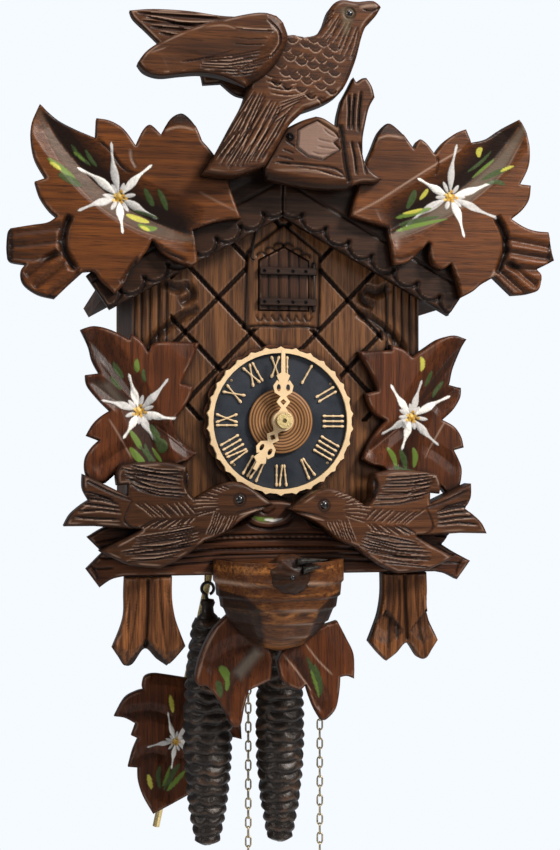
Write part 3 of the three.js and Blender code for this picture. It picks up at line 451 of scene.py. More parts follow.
# ---- materials -------------------------------------------------------------------------------------
class Finish:
    """A Principled material and short names for adding nodes to it."""

    def __init__(self, name, roughness=0.5, metallic=0.0, coat=0.0, coat_roughness=0.2):
        self.material = bpy.data.materials.new(name)
        self.material.use_nodes = True
        self.tree = self.material.node_tree
        self.shader = self.tree.nodes["Principled BSDF"]
        self.shader.inputs["Roughness"].default_value = roughness
        self.shader.inputs["Metallic"].default_value = metallic
        self.shader.inputs["Coat Weight"].default_value = coat
        self.shader.inputs["Coat Roughness"].default_value = coat_roughness
        self.shader.inputs["Specular IOR Level"].default_value = 0.13 if metallic < 0.5 else 0.5
        self.place = self.add("ShaderNodeTexCoord").outputs["Object"]

    def add(self, kind, **settings):
        node = self.tree.nodes.new(kind)
        for key, value in settings.items():
            setattr(node, key, value)
        return node

    def join(self, output, socket):
        self.tree.links.new(output, socket)

    def scaled(self, scale):
        node = self.add("ShaderNodeMapping")
        node.inputs["Scale"].default_value = scale
        self.join(self.place, node.inputs["Vector"])
        return node.outputs["Vector"]

    def noise(self, scale, detail=4, rough=0.55, distort=0.0):
        node = self.add("ShaderNodeTexNoise")
        node.inputs["Scale"].default_value = 1
        node.inputs["Detail"].default_value = detail
        node.inputs["Roughness"].default_value = rough
        node.inputs["Distortion"].default_value = distort
        self.join(self.scaled(scale), node.inputs["Vector"])
        return node.outputs["Fac"]

    def span(self, value, low, high, to_low=0.0, to_high=1.0):
        node = self.add("ShaderNodeMapRange")
        self.join(value, node.inputs["Value"])
        for key, number in zip(
            ("From Min", "From Max", "To Min", "To Max"), (low, high, to_low, to_high),
        ):
            node.inputs[key].default_value = number
        return node.outputs["Result"]

    def mix(self, factor, first, second, blend="MIX"):
        node = self.add("ShaderNodeMix", data_type="RGBA", blend_type=blend)
        for value, socket in (
            (factor, node.inputs[0]), (first, node.inputs[6]), (second, node.inputs[7]),
        ):
            if isinstance(value, bpy.types.NodeSocket):
                self.join(value, socket)
            elif isinstance(value, (int, float)):
                socket.default_value = value
            else:
                socket.default_value = (*value, 1)
        return node.outputs[2]

    def sums(self, kind, first, second):
        node = self.add("ShaderNodeMath", operation=kind)
        for value, socket in zip((first, second), node.inputs):
            if isinstance(value, bpy.types.NodeSocket):
                self.join(value, socket)
            else:
                socket.default_value = value
        return node.outputs[0]

    def attribute(self, name):
        return self.add("ShaderNodeAttribute", attribute_name=name).outputs["Fac"]

    def cavity(self, reach, floor=0.35):
        """From 0 in the open to 1 deep in a corner."""
        node = self.add("ShaderNodeAmbientOcclusion", samples=6)
        node.inputs["Distance"].default_value = reach
        return self.span(node.outputs["AO"], floor, 0.95, 1, 0)

    def colour(self, value):
        self.join(value, self.shader.inputs["Base Color"])

    def roughness(self, value):
        self.join(value, self.shader.inputs["Roughness"])

    def bump(self, height, distance):
        node = self.add("ShaderNodeBump")
        node.inputs["Distance"].default_value = distance
        self.join(height, node.inputs["Height"])
        self.join(node.outputs["Normal"], self.shader.inputs["Normal"])


GRAIN_DEPTH = 0.00022  # metres
SKIN_DEPTH = 0.00005
# the first darkens pores and cuts, stain and painted shade; the second lightens worn edges and painted
# highlights
STAIN_AND_SHADE = (0.008, 0.0045, 0.0035)
WORN_AND_HIGHLIGHT = (0.33, 0.22, 0.16)
DUST = (0.12, 0.10, 0.08)
ALONG = {"x": (16, 430, 430), "z": (430, 430, 16), "y": (430, 16, 430)}
PORES = {"x": (75, 1500, 1500), "z": (1500, 1500, 75), "y": (1500, 75, 1500)}


def wood(
    name, light, dark, grain="x", polish=0.36, coat=0.02, contrast=1.0, carved_mesh=True, detail=4,
    layers=0,
):
    """Stained walnut: streaks, pores and clouds, with dark stain and painted shade in the cuts, painted
    highlights and worn edges, and oil paint on top.
    """
    f = Finish(name, coat=coat, coat_roughness=0.28)
    streak = f.noise(ALONG[grain], detail=detail, rough=0.62, distort=0.5)
    cloud = f.noise((24, 24, 24), detail=3)
    pore = f.noise(PORES[grain], detail=2, rough=0.5)
    body = f.mix(f.span(streak, 0.5 - 0.17 / contrast, 0.5 + 0.2 / contrast), dark, light)
    shade = f.span(cloud, 0.3, 0.72, 0.55, 1.3)
    body = f.mix(1.0, body, f.mix(shade, (0, 0, 0), (1, 1, 1)), "MULTIPLY")
    if layers:
        sheet = f.noise((5, 5, 210), detail=2)
        body = f.mix(f.span(sheet, 0.44, 0.58, 0, layers), body, dark)
    body = f.mix(f.span(pore, 0.55, 0.68, 0, 0.6), body, STAIN_AND_SHADE)
    gloss = f.span(streak, 0.3, 0.7, polish + 0.1, polish - 0.05)
    if carved_mesh:
        # the carving's tone: stain and painted shade above 0, worn edges and painted highlights below 0
        tone = f.attribute("tone")
        body = f.mix(f.span(tone, 0.0, 1.0, 0.0, 0.95), body, STAIN_AND_SHADE)
        body = f.mix(f.span(tone, 0.0, -1.0, 0.0, 0.9), body, WORN_AND_HIGHLIGHT)
    # painted shade in corners and recesses, from ambient occlusion
    body = f.mix(f.cavity(0.004, 0.4), body, STAIN_AND_SHADE)
    if carved_mesh:
        paint = f.add("ShaderNodeAttribute", attribute_name="paint")
        oils = f.noise((700, 700, 700), detail=3)
        dabs = f.mix(f.span(oils, 0.35, 0.7, 0, 0.28), paint.outputs["Color"], DUST)
        body = f.mix(paint.outputs["Alpha"], body, dabs)
        gloss = f.sums("ADD", gloss, f.sums("MULTIPLY", paint.outputs["Alpha"], 0.12))
    f.colour(body)
    f.roughness(gloss)
    f.bump(f.sums("ADD", f.sums("MULTIPLY", streak, 0.7), f.sums("MULTIPLY", pore, -0.5)), GRAIN_DEPTH)
    return f.material


def cone_iron(name):
    """Cast iron under dark lacquer, with warm bronze showing on the worn lips."""
    f = Finish(name, 0.4, 0.6, coat=0.1, coat_roughness=0.25)
    lip = f.attribute("lip")
    cloud = f.noise((260, 260, 260), detail=6, rough=0.7)
    patch = f.noise((90, 90, 90), detail=4, rough=0.65)
    worn = f.span(
        f.sums("ADD", f.sums("MULTIPLY", lip, 0.45), f.sums("MULTIPLY", patch, 2.6)), 1.6, 2.5,
    )
    body = f.mix(f.span(cloud, 0.3, 0.7), (0.008, 0.006, 0.005), (0.026, 0.017, 0.012))
    body = f.mix(worn, body, (0.13, 0.066, 0.036))
    # painted shade in the hollows between the scales, from ambient occlusion
    f.colour(f.mix(f.cavity(0.003), body, (0.004, 0.003, 0.003)))
    f.roughness(f.span(cloud, 0.3, 0.7, 0.5, 0.3))
    f.bump(f.noise((700, 700, 700), detail=4), 0.0004)
    return f.material


def plain(name, colour, roughness, metallic=0.0, spread=0.12, grain=(60, 60, 60), coat=0.0):
    """A smooth finish with soft variation of colour and gloss and painted shade in the corners."""
    f = Finish(name, roughness, metallic, coat)
    cloud = f.noise(grain, detail=5)
    dark = tuple(c * (1 - 2 * spread) for c in colour)
    light = tuple(min(1, c * (1 + spread)) for c in colour)
    body = f.mix(f.span(cloud, 0.3, 0.7), dark, light)
    # painted shade in corners and recesses, from ambient occlusion
    f.colour(f.mix(f.cavity(0.002), body, tuple(c * 0.25 for c in colour)))
    f.roughness(f.span(f.noise((240, 240, 240)), 0.3, 0.7, roughness - 0.07, roughness + 0.1))
    f.bump(f.noise((1500, 1500, 1500), detail=3), SKIN_DEPTH)
    return f.material


def dial_paint(name):
    """Black slate paint outside the turned brown centre."""
    f = Finish(name)
    split = f.add("ShaderNodeSeparateXYZ")
    f.join(f.place, split.inputs[0])
    across = f.sums("POWER", split.outputs["X"], 2)
    up = f.sums("POWER", f.sums("ADD", split.outputs["Z"], HANG_Z * MM), 2)
    radius = f.sums("SQRT", f.sums("ADD", across, up), 0)
    rings = f.sums("SINE", f.sums("MULTIPLY", radius, 3900), 0)
    fine = f.sums("SINE", f.sums("MULTIPLY", radius, 9100), 0)
    turned = f.mix(f.span(rings, -1, 1), (0.06, 0.024, 0.009), (0.32, 0.16, 0.065))
    turned = f.mix(f.span(fine, 0.2, 1, 0, 0.4), turned, (0.10, 0.045, 0.02))
    cloud = f.noise((70, 70, 70), detail=5)
    slate = f.mix(f.span(cloud, 0.3, 0.7), (0.012, 0.015, 0.020), (0.030, 0.034, 0.042))
    centre = f.span(radius, 0.0171, 0.0174, 1, 0)
    f.colour(f.mix(centre, slate, turned))
    f.roughness(f.span(cloud, 0.3, 0.7, 0.42, 0.6))
    grooves = f.sums("MULTIPLY", f.sums("MULTIPLY", rings, centre), 0.4)
    f.bump(f.sums("ADD", grooves, f.noise((900, 900, 900))), 0.00012)
    return f.material


RED = wood("red_walnut", (0.150, 0.047, 0.0115), (0.052, 0.0155, 0.0045))
RED_UP = wood("red_walnut_upright", (0.125, 0.036, 0.0115), (0.042, 0.0120, 0.0045), "z")
DARK = wood("dark_walnut", (0.105, 0.039, 0.0145), (0.034, 0.0115, 0.0050))
# dark walnut made darker: the left bird uses it while its twin on the right uses DARK, so the left bird's
# extra darkness is painted shade; the chick's head uses it too
BIRD_DARK = wood("bird_walnut", (0.072, 0.027, 0.0100), (0.022, 0.0080, 0.0035))
DARK_UP = wood("dark_walnut_upright", (0.085, 0.033, 0.015), (0.028, 0.011, 0.006), "z")
RAIL = wood("rail_walnut", (0.105, 0.035, 0.013), (0.034, 0.011, 0.005))
# dark walnut for the fascia boards, made darker still as painted shadow of the crown leaves
FASCIA_WITH_SHADOW = wood("fascia_walnut_with_painted_shadow", (0.045, 0.018, 0.008), (0.016, 0.0065, 0.0035))
HOUSE = wood("house_walnut", (0.180, 0.075, 0.028), (0.055, 0.023, 0.011), "z", contrast=1.25)
PALE = wood(
    "nest_walnut", (0.30, 0.115, 0.030), (0.060, 0.019, 0.0065), contrast=1.5, detail=2, layers=0.75,
)
FOOT_WOOD = wood("foot_walnut", (0.23, 0.085, 0.028), (0.065, 0.023, 0.009), "z", contrast=1.6)
TURNED_WOOD = wood("dial_edge_walnut", (0.15, 0.055, 0.022), (0.06, 0.022, 0.010), carved_mesh=False)
DOOR_WOOD = wood("door_strap_walnut", (0.050, 0.024, 0.015), (0.020, 0.010, 0.007), carved_mesh=False)
BIRD_WOOD = wood("cuckoo_walnut", (0.14, 0.055, 0.022), (0.06, 0.022, 0.010), "y", carved_mesh=False)
CASE_WOOD = wood(
    "case_walnut", (0.085, 0.034, 0.014), (0.030, 0.012, 0.006), "z", polish=0.5, carved_mesh=False,
)
ROOF_WOOD = wood(
    "roof_walnut", (0.085, 0.034, 0.014), (0.030, 0.012, 0.006), "y", polish=0.5, carved_mesh=False,
)
RAW = wood(
    "plain_wood", (0.50, 0.32, 0.16), (0.34, 0.20, 0.10), polish=0.6, coat=0, contrast=0.8,
    carved_mesh=False,
)
IVORY = plain("ivory", (0.66, 0.475, 0.275), 0.4, spread=0.08, coat=0.05)
BRASS = plain("brass", (0.78, 0.60, 0.28), 0.28, 1.0, spread=0.1)
CHAIN_BRASS = plain("chain_brass", (0.50, 0.40, 0.24), 0.36, 1.0, spread=0.22, grain=(400, 400, 400))
BLACK_STEEL = plain("blackened_steel", (0.030, 0.026, 0.024), 0.4, 0.6)
STEEL = plain("steel", (0.52, 0.51, 0.50), 0.32, 1.0, spread=0.1)
CONE = cone_iron("cone_iron")
GLASS_EYE = plain("eye", (0.006, 0.005, 0.005), 0.06, coat=1.0)
PEG = plain("peg", (0.012, 0.009, 0.008), 0.45)
DIAL = dial_paint("dial_paint")

WHITE = (0.78, 0.75, 0.70)
SHADED_WHITE = (0.52, 0.50, 0.48)
OCHRE = (0.48, 0.26, 0.03)
PALE_OCHRE = (0.66, 0.45, 0.13)
GREEN = (0.030, 0.062, 0.012)
LEAF_GREEN = (0.11, 0.19, 0.022)
YELLOW = (0.48, 0.45, 0.06)
PAINTS = {"green": GREEN, "leaf": LEAF_GREEN, "yellow": YELLOW, "white": WHITE}
# painted sheen: light patches where facets catch the light; the brighter one is for the better-lit right
# crown leaf, the last two for the side and nest leaves
DIM_PAINTED_SHEEN = (0.105, 0.078, 0.056)
BRIGHT_PAINTED_SHEEN = (0.190, 0.160, 0.120)
SIDE_PAINTED_SHEEN = (0.16, 0.13, 0.10)
NEST_PAINTED_SHEEN = (0.26, 0.21, 0.16)
EYE_PATCH = (0.17, 0.125, 0.07)
SAWN = (0.27, 0.165, 0.125)
SAWN_RIM = (0.20, 0.09, 0.035)


# ---- outlines: a start point, then smooth runs that meet at sharp corners -----------------------------
CROWN_LEAF_LEFT = runs_of("""
    -127,160 / -131,150.5 -131.5,142 -129.5,132 -124,122.5 / -129.5,120.5 / -127,113 -122.5,106.5
    -118.5,103 / -123,100 -131,98.5 -141.5,96.5 / -143,94 -143.5,87 -143,81.5 / -141,79.5 -134,78.5
    / -136.5,74.5 -135,68.5 -128,63.5 -119.5,61.5 / -112.5,68.5 -105,75.5 / -99.5,75.5 -95.5,70.5
    -89,64.5 / -84.5,69.5 -81,76.5 -77,81 / -72.5,87 -70,92.5 / -64.5,86 -56.5,81.5 -49.5,79.5 /
    -46.5,82 -47.5,91 -48.5,98.5 / -39,102 -31,104 -23.5,105 / -26,111 -28,116.5 / -32,129 -39,139
    -44,144.5 / -47,151.5 -51,157 -55,159 -60.5,155.5 -65.5,147 / -68.5,150.5 -71.5,152 -75,148.5
    -78.5,141 / -84.5,149 -91.5,153 -98.5,154 / -99,144 / -108.5,148 -118,153 -127,160
""")

CROWN_LEAF_RIGHT = runs_of("""
    128.5,163 / 133,156.5 134.5,145.5 133.5,137 129,128 / 135,127.5 / 134,120 130,114 124,109 /
    131,105 137.5,103 145,102.5 / 146.5,96 149,87.5 / 139,82.5 / 141,78.5 139.5,71.5 134,69 125,68 /
    120,72.5 114.5,77.5 / 107,73.5 102,69.5 95.5,66 / 93.5,74.5 90,84 / 85,81 80,83 / 78.5,87
    77.5,95 / 71,88.5 65.5,84 58.5,82.5 / 57,91 55.5,102.5 / 45.5,105 35,108 / 37,117 41.5,132
    47,145.5 / 50.5,153.5 56,158.5 61.5,155 69.5,145 / 71.5,149 73.5,150 77,147.5 81,142.5 / 86,149
    92.5,154 98.5,156.5 / 101.5,149.5 / 110,152 119,158 128.5,163
""")

BRANCH = runs_of("""
    -13.4,130 / -7.7,140.6 -1.7,151 / 7,155.5 14.5,158 / 19,157 25.5,153 / 26,159 28,167 /
    31.5,173.5 34.5,179.5 / 36,177 / 39,179 41.5,179.5 / 44.5,175 46,169.5 / 43,164 41,156
    39.5,147.5 39.5,139.5 / 42,132.5 50,126.5 / 46,124.5 38,124 31,121 / 20,120.5 5,121.5
    -11.4,124.6 / -13.4,130
""")

TOP_BIRD = runs_of("""
    48.5,216 / 45.5,211 40.5,205.5 38,199.5 34.5,186.5 28,172 19.5,165 7.5,160 / 0,152.5 -6.5,141.5
    -13,130.5 / -29,124.5 -45.5,125.5 / -39,135.5 -31,150.5 -24,164 -20,179 -14,191.5 -2.5,198.5
    7.5,198 / 13.5,199.5 18,205.5 21.5,214.5 27,218.5 35,218 44,219 48.5,216
""")

TOP_WING_NEAR = runs_of("""
    -79.5,178 / -74.5,184.5 -64.5,191 -48,198.5 -31.5,203.5 -18,206.5 -8.5,206 / -4.5,202.5 -2,195.5
    -4.5,189 / -7.5,183 -14,176 -24,169.5 / -35.5,173 -47,174.5 -57.5,173.5 -68.5,172 -76,174
    -79.5,178
""")

TOP_WING_FAR = runs_of("""
    -81.7,210.1 / -69.4,211.6 -51.1,211.6 -35.2,210.1 -20.4,209.6 -9.5,205.8 / -9.5,194.3
    -13.5,179.4 -20.9,168 / -27.3,169.5 -34.2,174.9 / -43.6,173.9 / -46.1,181.4 -55.5,188.3
    -66.4,193.7 / -73.3,200.2 -79.8,206.1 -81.7,210.1
""")

SIDE_LEAF_LEFT = runs_of("""
    -105.5,47 / -98.5,49 -89.5,47 -80.5,42.5 / -79,45 -73.5,41 -70.5,36 / -67.5,40.5 -57.5,41.5
    -43.5,41 / -46,34.5 -49.5,27 -53,19.5 / -46.5,18 / -48.5,12 -52.5,5.5 -57.5,-0.5 / -55,-8
    -50.5,-13 -44.5,-17 / -49.5,-21 -55.5,-24 -59.5,-34 / -69.5,-35 -79.5,-30 -87.5,-28 /
    -92.5,-32.5 / -99.5,-33 -103,-27 -103,-20 -100,-14.5 -96,-10.5 / -102.5,-8 / -99,-2 -95,2
    -90.5,5 / -96.5,11 -102,18 -103,23.5 / -96,24.5 / -99.5,31 -101.5,38.5 -105.5,47
""")

SIDE_LEAF_RIGHT = runs_of("""
    103.5,45 / 96.5,47 88,45 80,40 72.5,35 / 67.5,39 60.5,41.5 / 60.5,38.5 / 42.5,37.5 / 47,30
    51,22.5 53,16.5 / 46.5,15 / 48,9.5 51.5,4 57.5,0.5 / 52,-6 48,-12.5 44.5,-20.5 / 50,-23.5 57,-26
    61,-36 / 73,-36 81,-32 86,-33.5 / 89,-36 92.5,-39.5 98,-38.5 / 100,-31 100,-24 96,-15.5 /
    101.5,-14 / 100,-8 96,-2.5 89.5,1 / 95.5,6.5 99.5,13 100.5,18.5 / 93.5,20 / 95.5,28 99,36
    103.5,45
""")

BASE_RAIL = runs_of("""
    -102.5,-77 / -95.5,-86.5 / -89.5,-82.5 -83.5,-81 / 85,-81 / 91.5,-82.5 97.5,-85.5 / 105,-75.5 /
    95.5,-70.5 89,-66.5 / 94.5,-59 / 86,-55 51,-58 / 21,-57 13,-50 7,-44 -3,-42 -13.5,-44 -17.5,-52
    -29.5,-57 / -49.5,-56 -84.5,-53 -102,-60.5 / -94,-68.5 / -102.5,-77
""")

FOOT = runs_of("""
    -82.5,-81.3 / -82.8,-90 -82.8,-100 -84.5,-107.5 -88.8,-118 / -85.8,-122.5 -82.3,-127.5
    -77.8,-127 -71.7,-119 -65.6,-124.5 -60,-128.5 / -55.5,-124 -50.5,-118 / -53.5,-110.5
    -56.2,-102.5 -57.7,-92.5 -57.7,-81.3 / -82.5,-81.3
""")

SIDE_BIRD = runs_of("""
    -6.5,-43.5 / -13.5,-47 -23,-51.5 -32,-58.5 -42.5,-62.5 / -49,-67.5 -57.5,-72.5 -65.5,-76 /
    -79.5,-74.5 -89.5,-70.5 -96.5,-67 / -89.5,-63.5 -81.5,-59.5 -75.5,-56 / -87.5,-55 -99.5,-54 /
    -114.5,-54 / -111.5,-48.5 -106.5,-44 -102,-41 / -105,-35 -105,-27.5 / -96.5,-31.5 -89.5,-35
    -82.5,-38.5 / -82.5,-33 / -87.5,-33.5 / -88,-28 -86,-23 / -74.5,-21.5 -62.5,-21.5 -52,-23.5 /
    -50.5,-30 -51,-36 -47,-40.5 / -43,-38 -38,-35 / -32,-32.5 -26,-32 -19,-34.5 -13,-38.5 -6.5,-43.5
""")

NEST_LEAF_LEFT = runs_of("""
    -26.5,-100.5 / -36,-109.5 -42.5,-122 -45.5,-134.5 -43.5,-139 / -39,-139.5 -34,-145.5 -29.5,-154
    -25.5,-161 / -21.5,-160 -19.5,-151 -17,-142 / -11,-139.5 -5.5,-137 / -4,-126 / -8,-115
    -16.5,-106.5 -26.5,-100.5
""")

NEST_LEAF_RIGHT = runs_of("""
    31,-106.5 / 36,-116 40,-125 40,-137.5 / 36,-136 32.5,-136.5 / 32,-143.5 30,-153 25,-158.5
    22,-159 / 18.5,-153 15.5,-145.5 14,-140.5 / 9.5,-142.5 1,-137.5 -2,-127 / 6.5,-115 31,-106.5
""")

# Half of the pendulum's leaf: each point's distance from the stem, and below the pivot.
PENDULUM_HALF = runs_of("""
    14,180.4 21,181 25.5,183.5 26,188.5 25,191 / 29,193 34.5,198 38,209 / 31.5,209 25,211 / 26,218 /
    22,219 / 23.5,226.5 24,236 / 18.5,235.5 / 16.5,243 12,251 4,260
""")


def mirrored(runs, dx=0.0, dz=0.0, turn=0.0, about=(0.0, 0.0)):
    c, s = math.cos(math.radians(turn)), math.sin(math.radians(turn))

    def place(point):
        u, v = -point[0] - about[0], point[1] - about[1]
        return [about[0] + u * c - v * s + dx, about[1] + u * s + v * c + dz]

    return [[place(p) for p in run] for run in runs]


def flip(line):
    return [(-x, z) for x, z in line]


# ---- painted flowers -------------------------------------------------------------------------------
def flower(cut, x, z, tips, size=1.0):
    """An edelweiss: long waisted petals to the tips, short ones between, and an ochre centre."""
    angles = sorted(math.atan2(tz - z, tx - x) for tx, tz in tips)
    for i, angle in enumerate(angles):
        after = angles[(i + 1) % len(angles)] + (2 * math.pi if i == len(angles) - 1 else 0)
        count = 2 if after - angle > 1.35 else 1
        for k in range(count):
            middle = angle + (after - angle) * (k + 1) / (count + 1)
            reach = size * RNG.uniform(7.0, 8.8)
            near = (x + 2.4 * size * math.cos(middle), z + 2.4 * size * math.sin(middle))
            end = (x + reach * math.cos(middle), z + reach * math.sin(middle))
            cut.stroke([near, end], 2.3 * size, SHADED_WHITE, lift=0.4)
    for i, (tx, tz) in enumerate(tips):
        dx, dz = tx - x, tz - z
        bend = RNG.uniform(-0.05, 0.05)
        start = 2.2 * size / math.hypot(dx, dz)
        middle = (x + dx * 0.55 - dz * bend, z + dz * 0.55 + dx * bend)
        line = [(x + dx * start, z + dz * start), middle, (tx, tz)]
        cut.stroke(line, 4.3 * size, SHADED_WHITE if i % 2 else WHITE, lift=0.6, waist=1)
    for i in range(14):
        turn = i * 2.4
        r = 0.27 * size * i
        spot = (x + r * math.cos(turn), z + r * math.sin(turn))
        dot = 0.95 * size
        turns = [(math.cos(a), math.sin(a)) for a in np.arange(0, 6.28, 0.7)]
        ring = [(spot[0] + dot * c, spot[1] + dot * s) for c, s in turns]
        cut.brush(ring, OCHRE if i % 3 else PALE_OCHRE, lift=0.35)


def greens(cut, rows, move=list):
    """Loose brush strokes, one in each row: its paint, its width and its line."""
    for row in rows.strip().splitlines():
        paint, width, line = row.split(maxsplit=2)
        cut.stroke(move(pts(line)), float(width), PAINTS[paint], lift=0.12, strength=0.92)


# ---- crown leaves ----------------------------------------------------------------------------------
def oak_leaf(cut, turned, flower_at, tips, valley, stem_cut):
    """An oak leaf cut flat, with a wide V along its middle, bark stems and chamfered tips; painted shade on
    the facets turned from the light, and a painted sheen and highlight lines on the lit ones.
    """
    side = flip if turned else (lambda line: line)
    cut.edge(1.4, dark=0.55)
    # painted shade on the V's upper facet
    cut.trough(valley, 17, 10, 5.4, 1.05, 0.1, taper=0.1)
    # a painted sheen on the V's lit facet, brighter on the right leaf
    facet = smooth_run(valley, 4)
    run = np.gradient(np.array(facet), axis=0)
    away = np.column_stack([run[:, 1], -run[:, 0]]) / np.linalg.norm(run, axis=1)[:, None]
    reach = 8.5 * np.sin(np.linspace(0.25, math.pi - 0.45, len(facet)))[:, None]
    sheen_band = np.vstack([np.array(facet), (np.array(facet) + away * reach)[::-1]])
    cut.brush(sheen_band, BRIGHT_PAINTED_SHEEN if turned else DIM_PAINTED_SHEEN, strength=0.65, soft=3.5)
    # painted highlights along the valley and the sheen's outer edge
    cut.curve(valley, width=1.0, depth=-0.1, dark=-0.55, taper=0.2)
    cut.groove(list(np.array(facet) + away * reach), width=1.0, depth=-0.1, dark=-0.55, taper=0.2)
    cut.curve(stem_cut, width=5.6, depth=3.6, dark=1.2, taper=0.08)
    # painted highlight lines on the stem
    cut.groove(side(pts("-118,97 -118.5,88 -116,80")), width=1.0, depth=0.2, dark=-0.7)
    cut.groove(side(pts("-114.5,82 -111.5,75.5")), width=2.2, depth=0.5, dark=-0.7)
    x0 = 4 if turned else 0  # how much further out the right leaf's stems reach
    # painted shade on one facet of each bark stem
    for z_out, z_in, tone in ((94, 98, 0.5), (88, 91.5, 0.65), (82.5, 84, 0.6)):
        line = side([(-142 - x0, z_out), (-130 - x0, z_in - 2), (-116 - x0, z_in)])
        cut.trough(line, 2.8, 2.8, 1.9, 0.15, tone, taper=0.04)
    for x, z in ((-134, 73), (-130, 67), (-123, 63)):
        line = side([(x - x0, z), (x + 9 - x0, z + 7), (x + 16 - x0, z + 13)])
        cut.trough(line, 2.6, 2.8, 1.9, 0.2, 0.6, taper=0.04)
    end = [(-141.2 - x0, 99), (-139.8 - x0, 90), (-140.2 - x0, 79)]
    low = [(-136 - x0, 76), (-134 - x0, 69), (-126 - x0, 64.8), (-118 - x0, 63)]
    way = 1 if turned else -1
    # painted shade on the chamfers at the leaf's end
    cut.slope(side(end)[::way], 4, 2.2, 0.75)
    cut.slope(side(low)[::way], 4, 1.8, 0.6)
    flower(cut, *flower_at, tips)


def crown_left(cut):
    valley = pts("-127,158 -118.5,144 -108,131 -95,118 -78,106.5 -60,99 -47.5,95")
    stem_cut = pts("-111.5,104 -114.6,96 -114.6,86 -109,76")
    # painted shade on the chamfered tips, painted highlights on their edges and ridges, stain and painted
    # shade in the deep cuts
    cut.slope(pts("-63.5,149.5 -59,151.5 -55,152 -48,150.5"), 7, 3.2, 0.75)
    cut.slope(pts("-76.5,147.5 -72,149.5 -67.5,147"), 4, 1.6, 0.3)
    cut.curve(pts("-64,148.5 -59,150.5 -54,151 -48,149.5"), width=1.6, depth=-0.3, dark=-0.8)
    cut.curve(pts("-81,139 -80.5,134 -78,129"), width=2, depth=0.7, dark=-0.5)
    cut.curve(pts("-98,143 -91,137 -86,130 -80,126"), width=2.4, depth=0.8, dark=0.6)
    cut.curve(pts("-25,108 -34,112 -46,118"), width=1.6, depth=-0.2, dark=-0.35)
    cut.curve(pts("-77,83 -81,78 -86,70"), width=3, depth=2.2, dark=0.9)
    cut.curve(pts("-70,92 -63,86.5 -52,82"), width=3.2, depth=1.8, dark=0.8)
    tips = pts("-108,129 -91,142 -70,131 -67,104 -85,95 -108,106")
    oak_leaf(cut, False, (-86.5, 114.5), tips, valley, stem_cut)
    greens(cut, """
        leaf 3.4 -123,132.5 -116,127.5 -109,122.5
        yellow 2.2 -122,130.5 -116,126.5
        green 4 -118,124.5 -111,121.5 -106,119
        green 2.2 -111,140.5 -107,135 -101,130
        green 2.2 -104,138 -101,133 -98,129.5
        leaf 1.5 -110,137 -104,132
        green 3.2 -74,119 -71,113.5 -69,110
        green 3 -67,118.5 -64,113 -62,108
        yellow 3.2 -83,105.5 -77,103.5 -71,102
        leaf 3.4 -77,100.5 -72,98.5 -67,99
        yellow 2 -76,99.5 -71,97.5
        green 1.6 -80,108 -72,106 -66,104
    """)


def crown_right(cut):
    valley = pts("55.5,98 66,104 80,113 97,125 111,137 121,148 130,161")
    stem_cut = pts("115,110 119.6,101 120.2,91 116,79")
    # painted shade on the chamfered tip, painted highlights along the ridges, stain and painted shade in the
    # deep cuts
    cut.slope(pts("49,149.5 55,151.5 63.5,150.5"), 7, 3.2, 0.75)
    cut.curve(pts("49,149 55,151 63.5,150"), width=1.6, depth=-0.3, dark=-0.8)
    cut.curve(pts("82,141 82.5,136 81,131"), width=2, depth=0.7, dark=0.5)
    cut.curve(
        pts("36,109 50,116.5 66,127 80,136 96,145.5"), width=1.5, depth=-0.5, dark=-0.75, taper=0.05,
    )
    cut.curve(pts("56,100 66,106 80,114 92,121"), width=1.3, depth=-0.4, dark=-0.6, taper=0.1)
    cut.curve(pts("78,95 77,88 80,83"), width=3, depth=2.0, dark=0.9)
    cut.curve(pts("56,87 63,86 74,91"), width=3, depth=1.2, dark=0.4)
    tips = pts("71,129 93,148 114,129 116,109 97,98 66,104")
    oak_leaf(cut, True, (90.5, 120.5), tips, valley, stem_cut)
    greens(cut, """
        leaf 3 60,108 70,111 80,114
        green 3 62,104.5 72,107 84,109.5
        leaf 2.4 60,101 70,104 88,108
        yellow 2 64,110.5 71,112 75,113.5
        green 4 66,113 69,119 70,123
        yellow 2.6 73,118 76,121.5 77.5,124
        yellow 3.6 106.5,142 106,145 108,147
        green 2 100,134 107,139 114,146
        leaf 1.8 103,131 110,137 116,142
        green 3 108,130 116,134 124,137
        green 2.6 110,128 116,128.5 120,127
        yellow 1.8 118,134.5 122,136.5 125,137.5
    """)


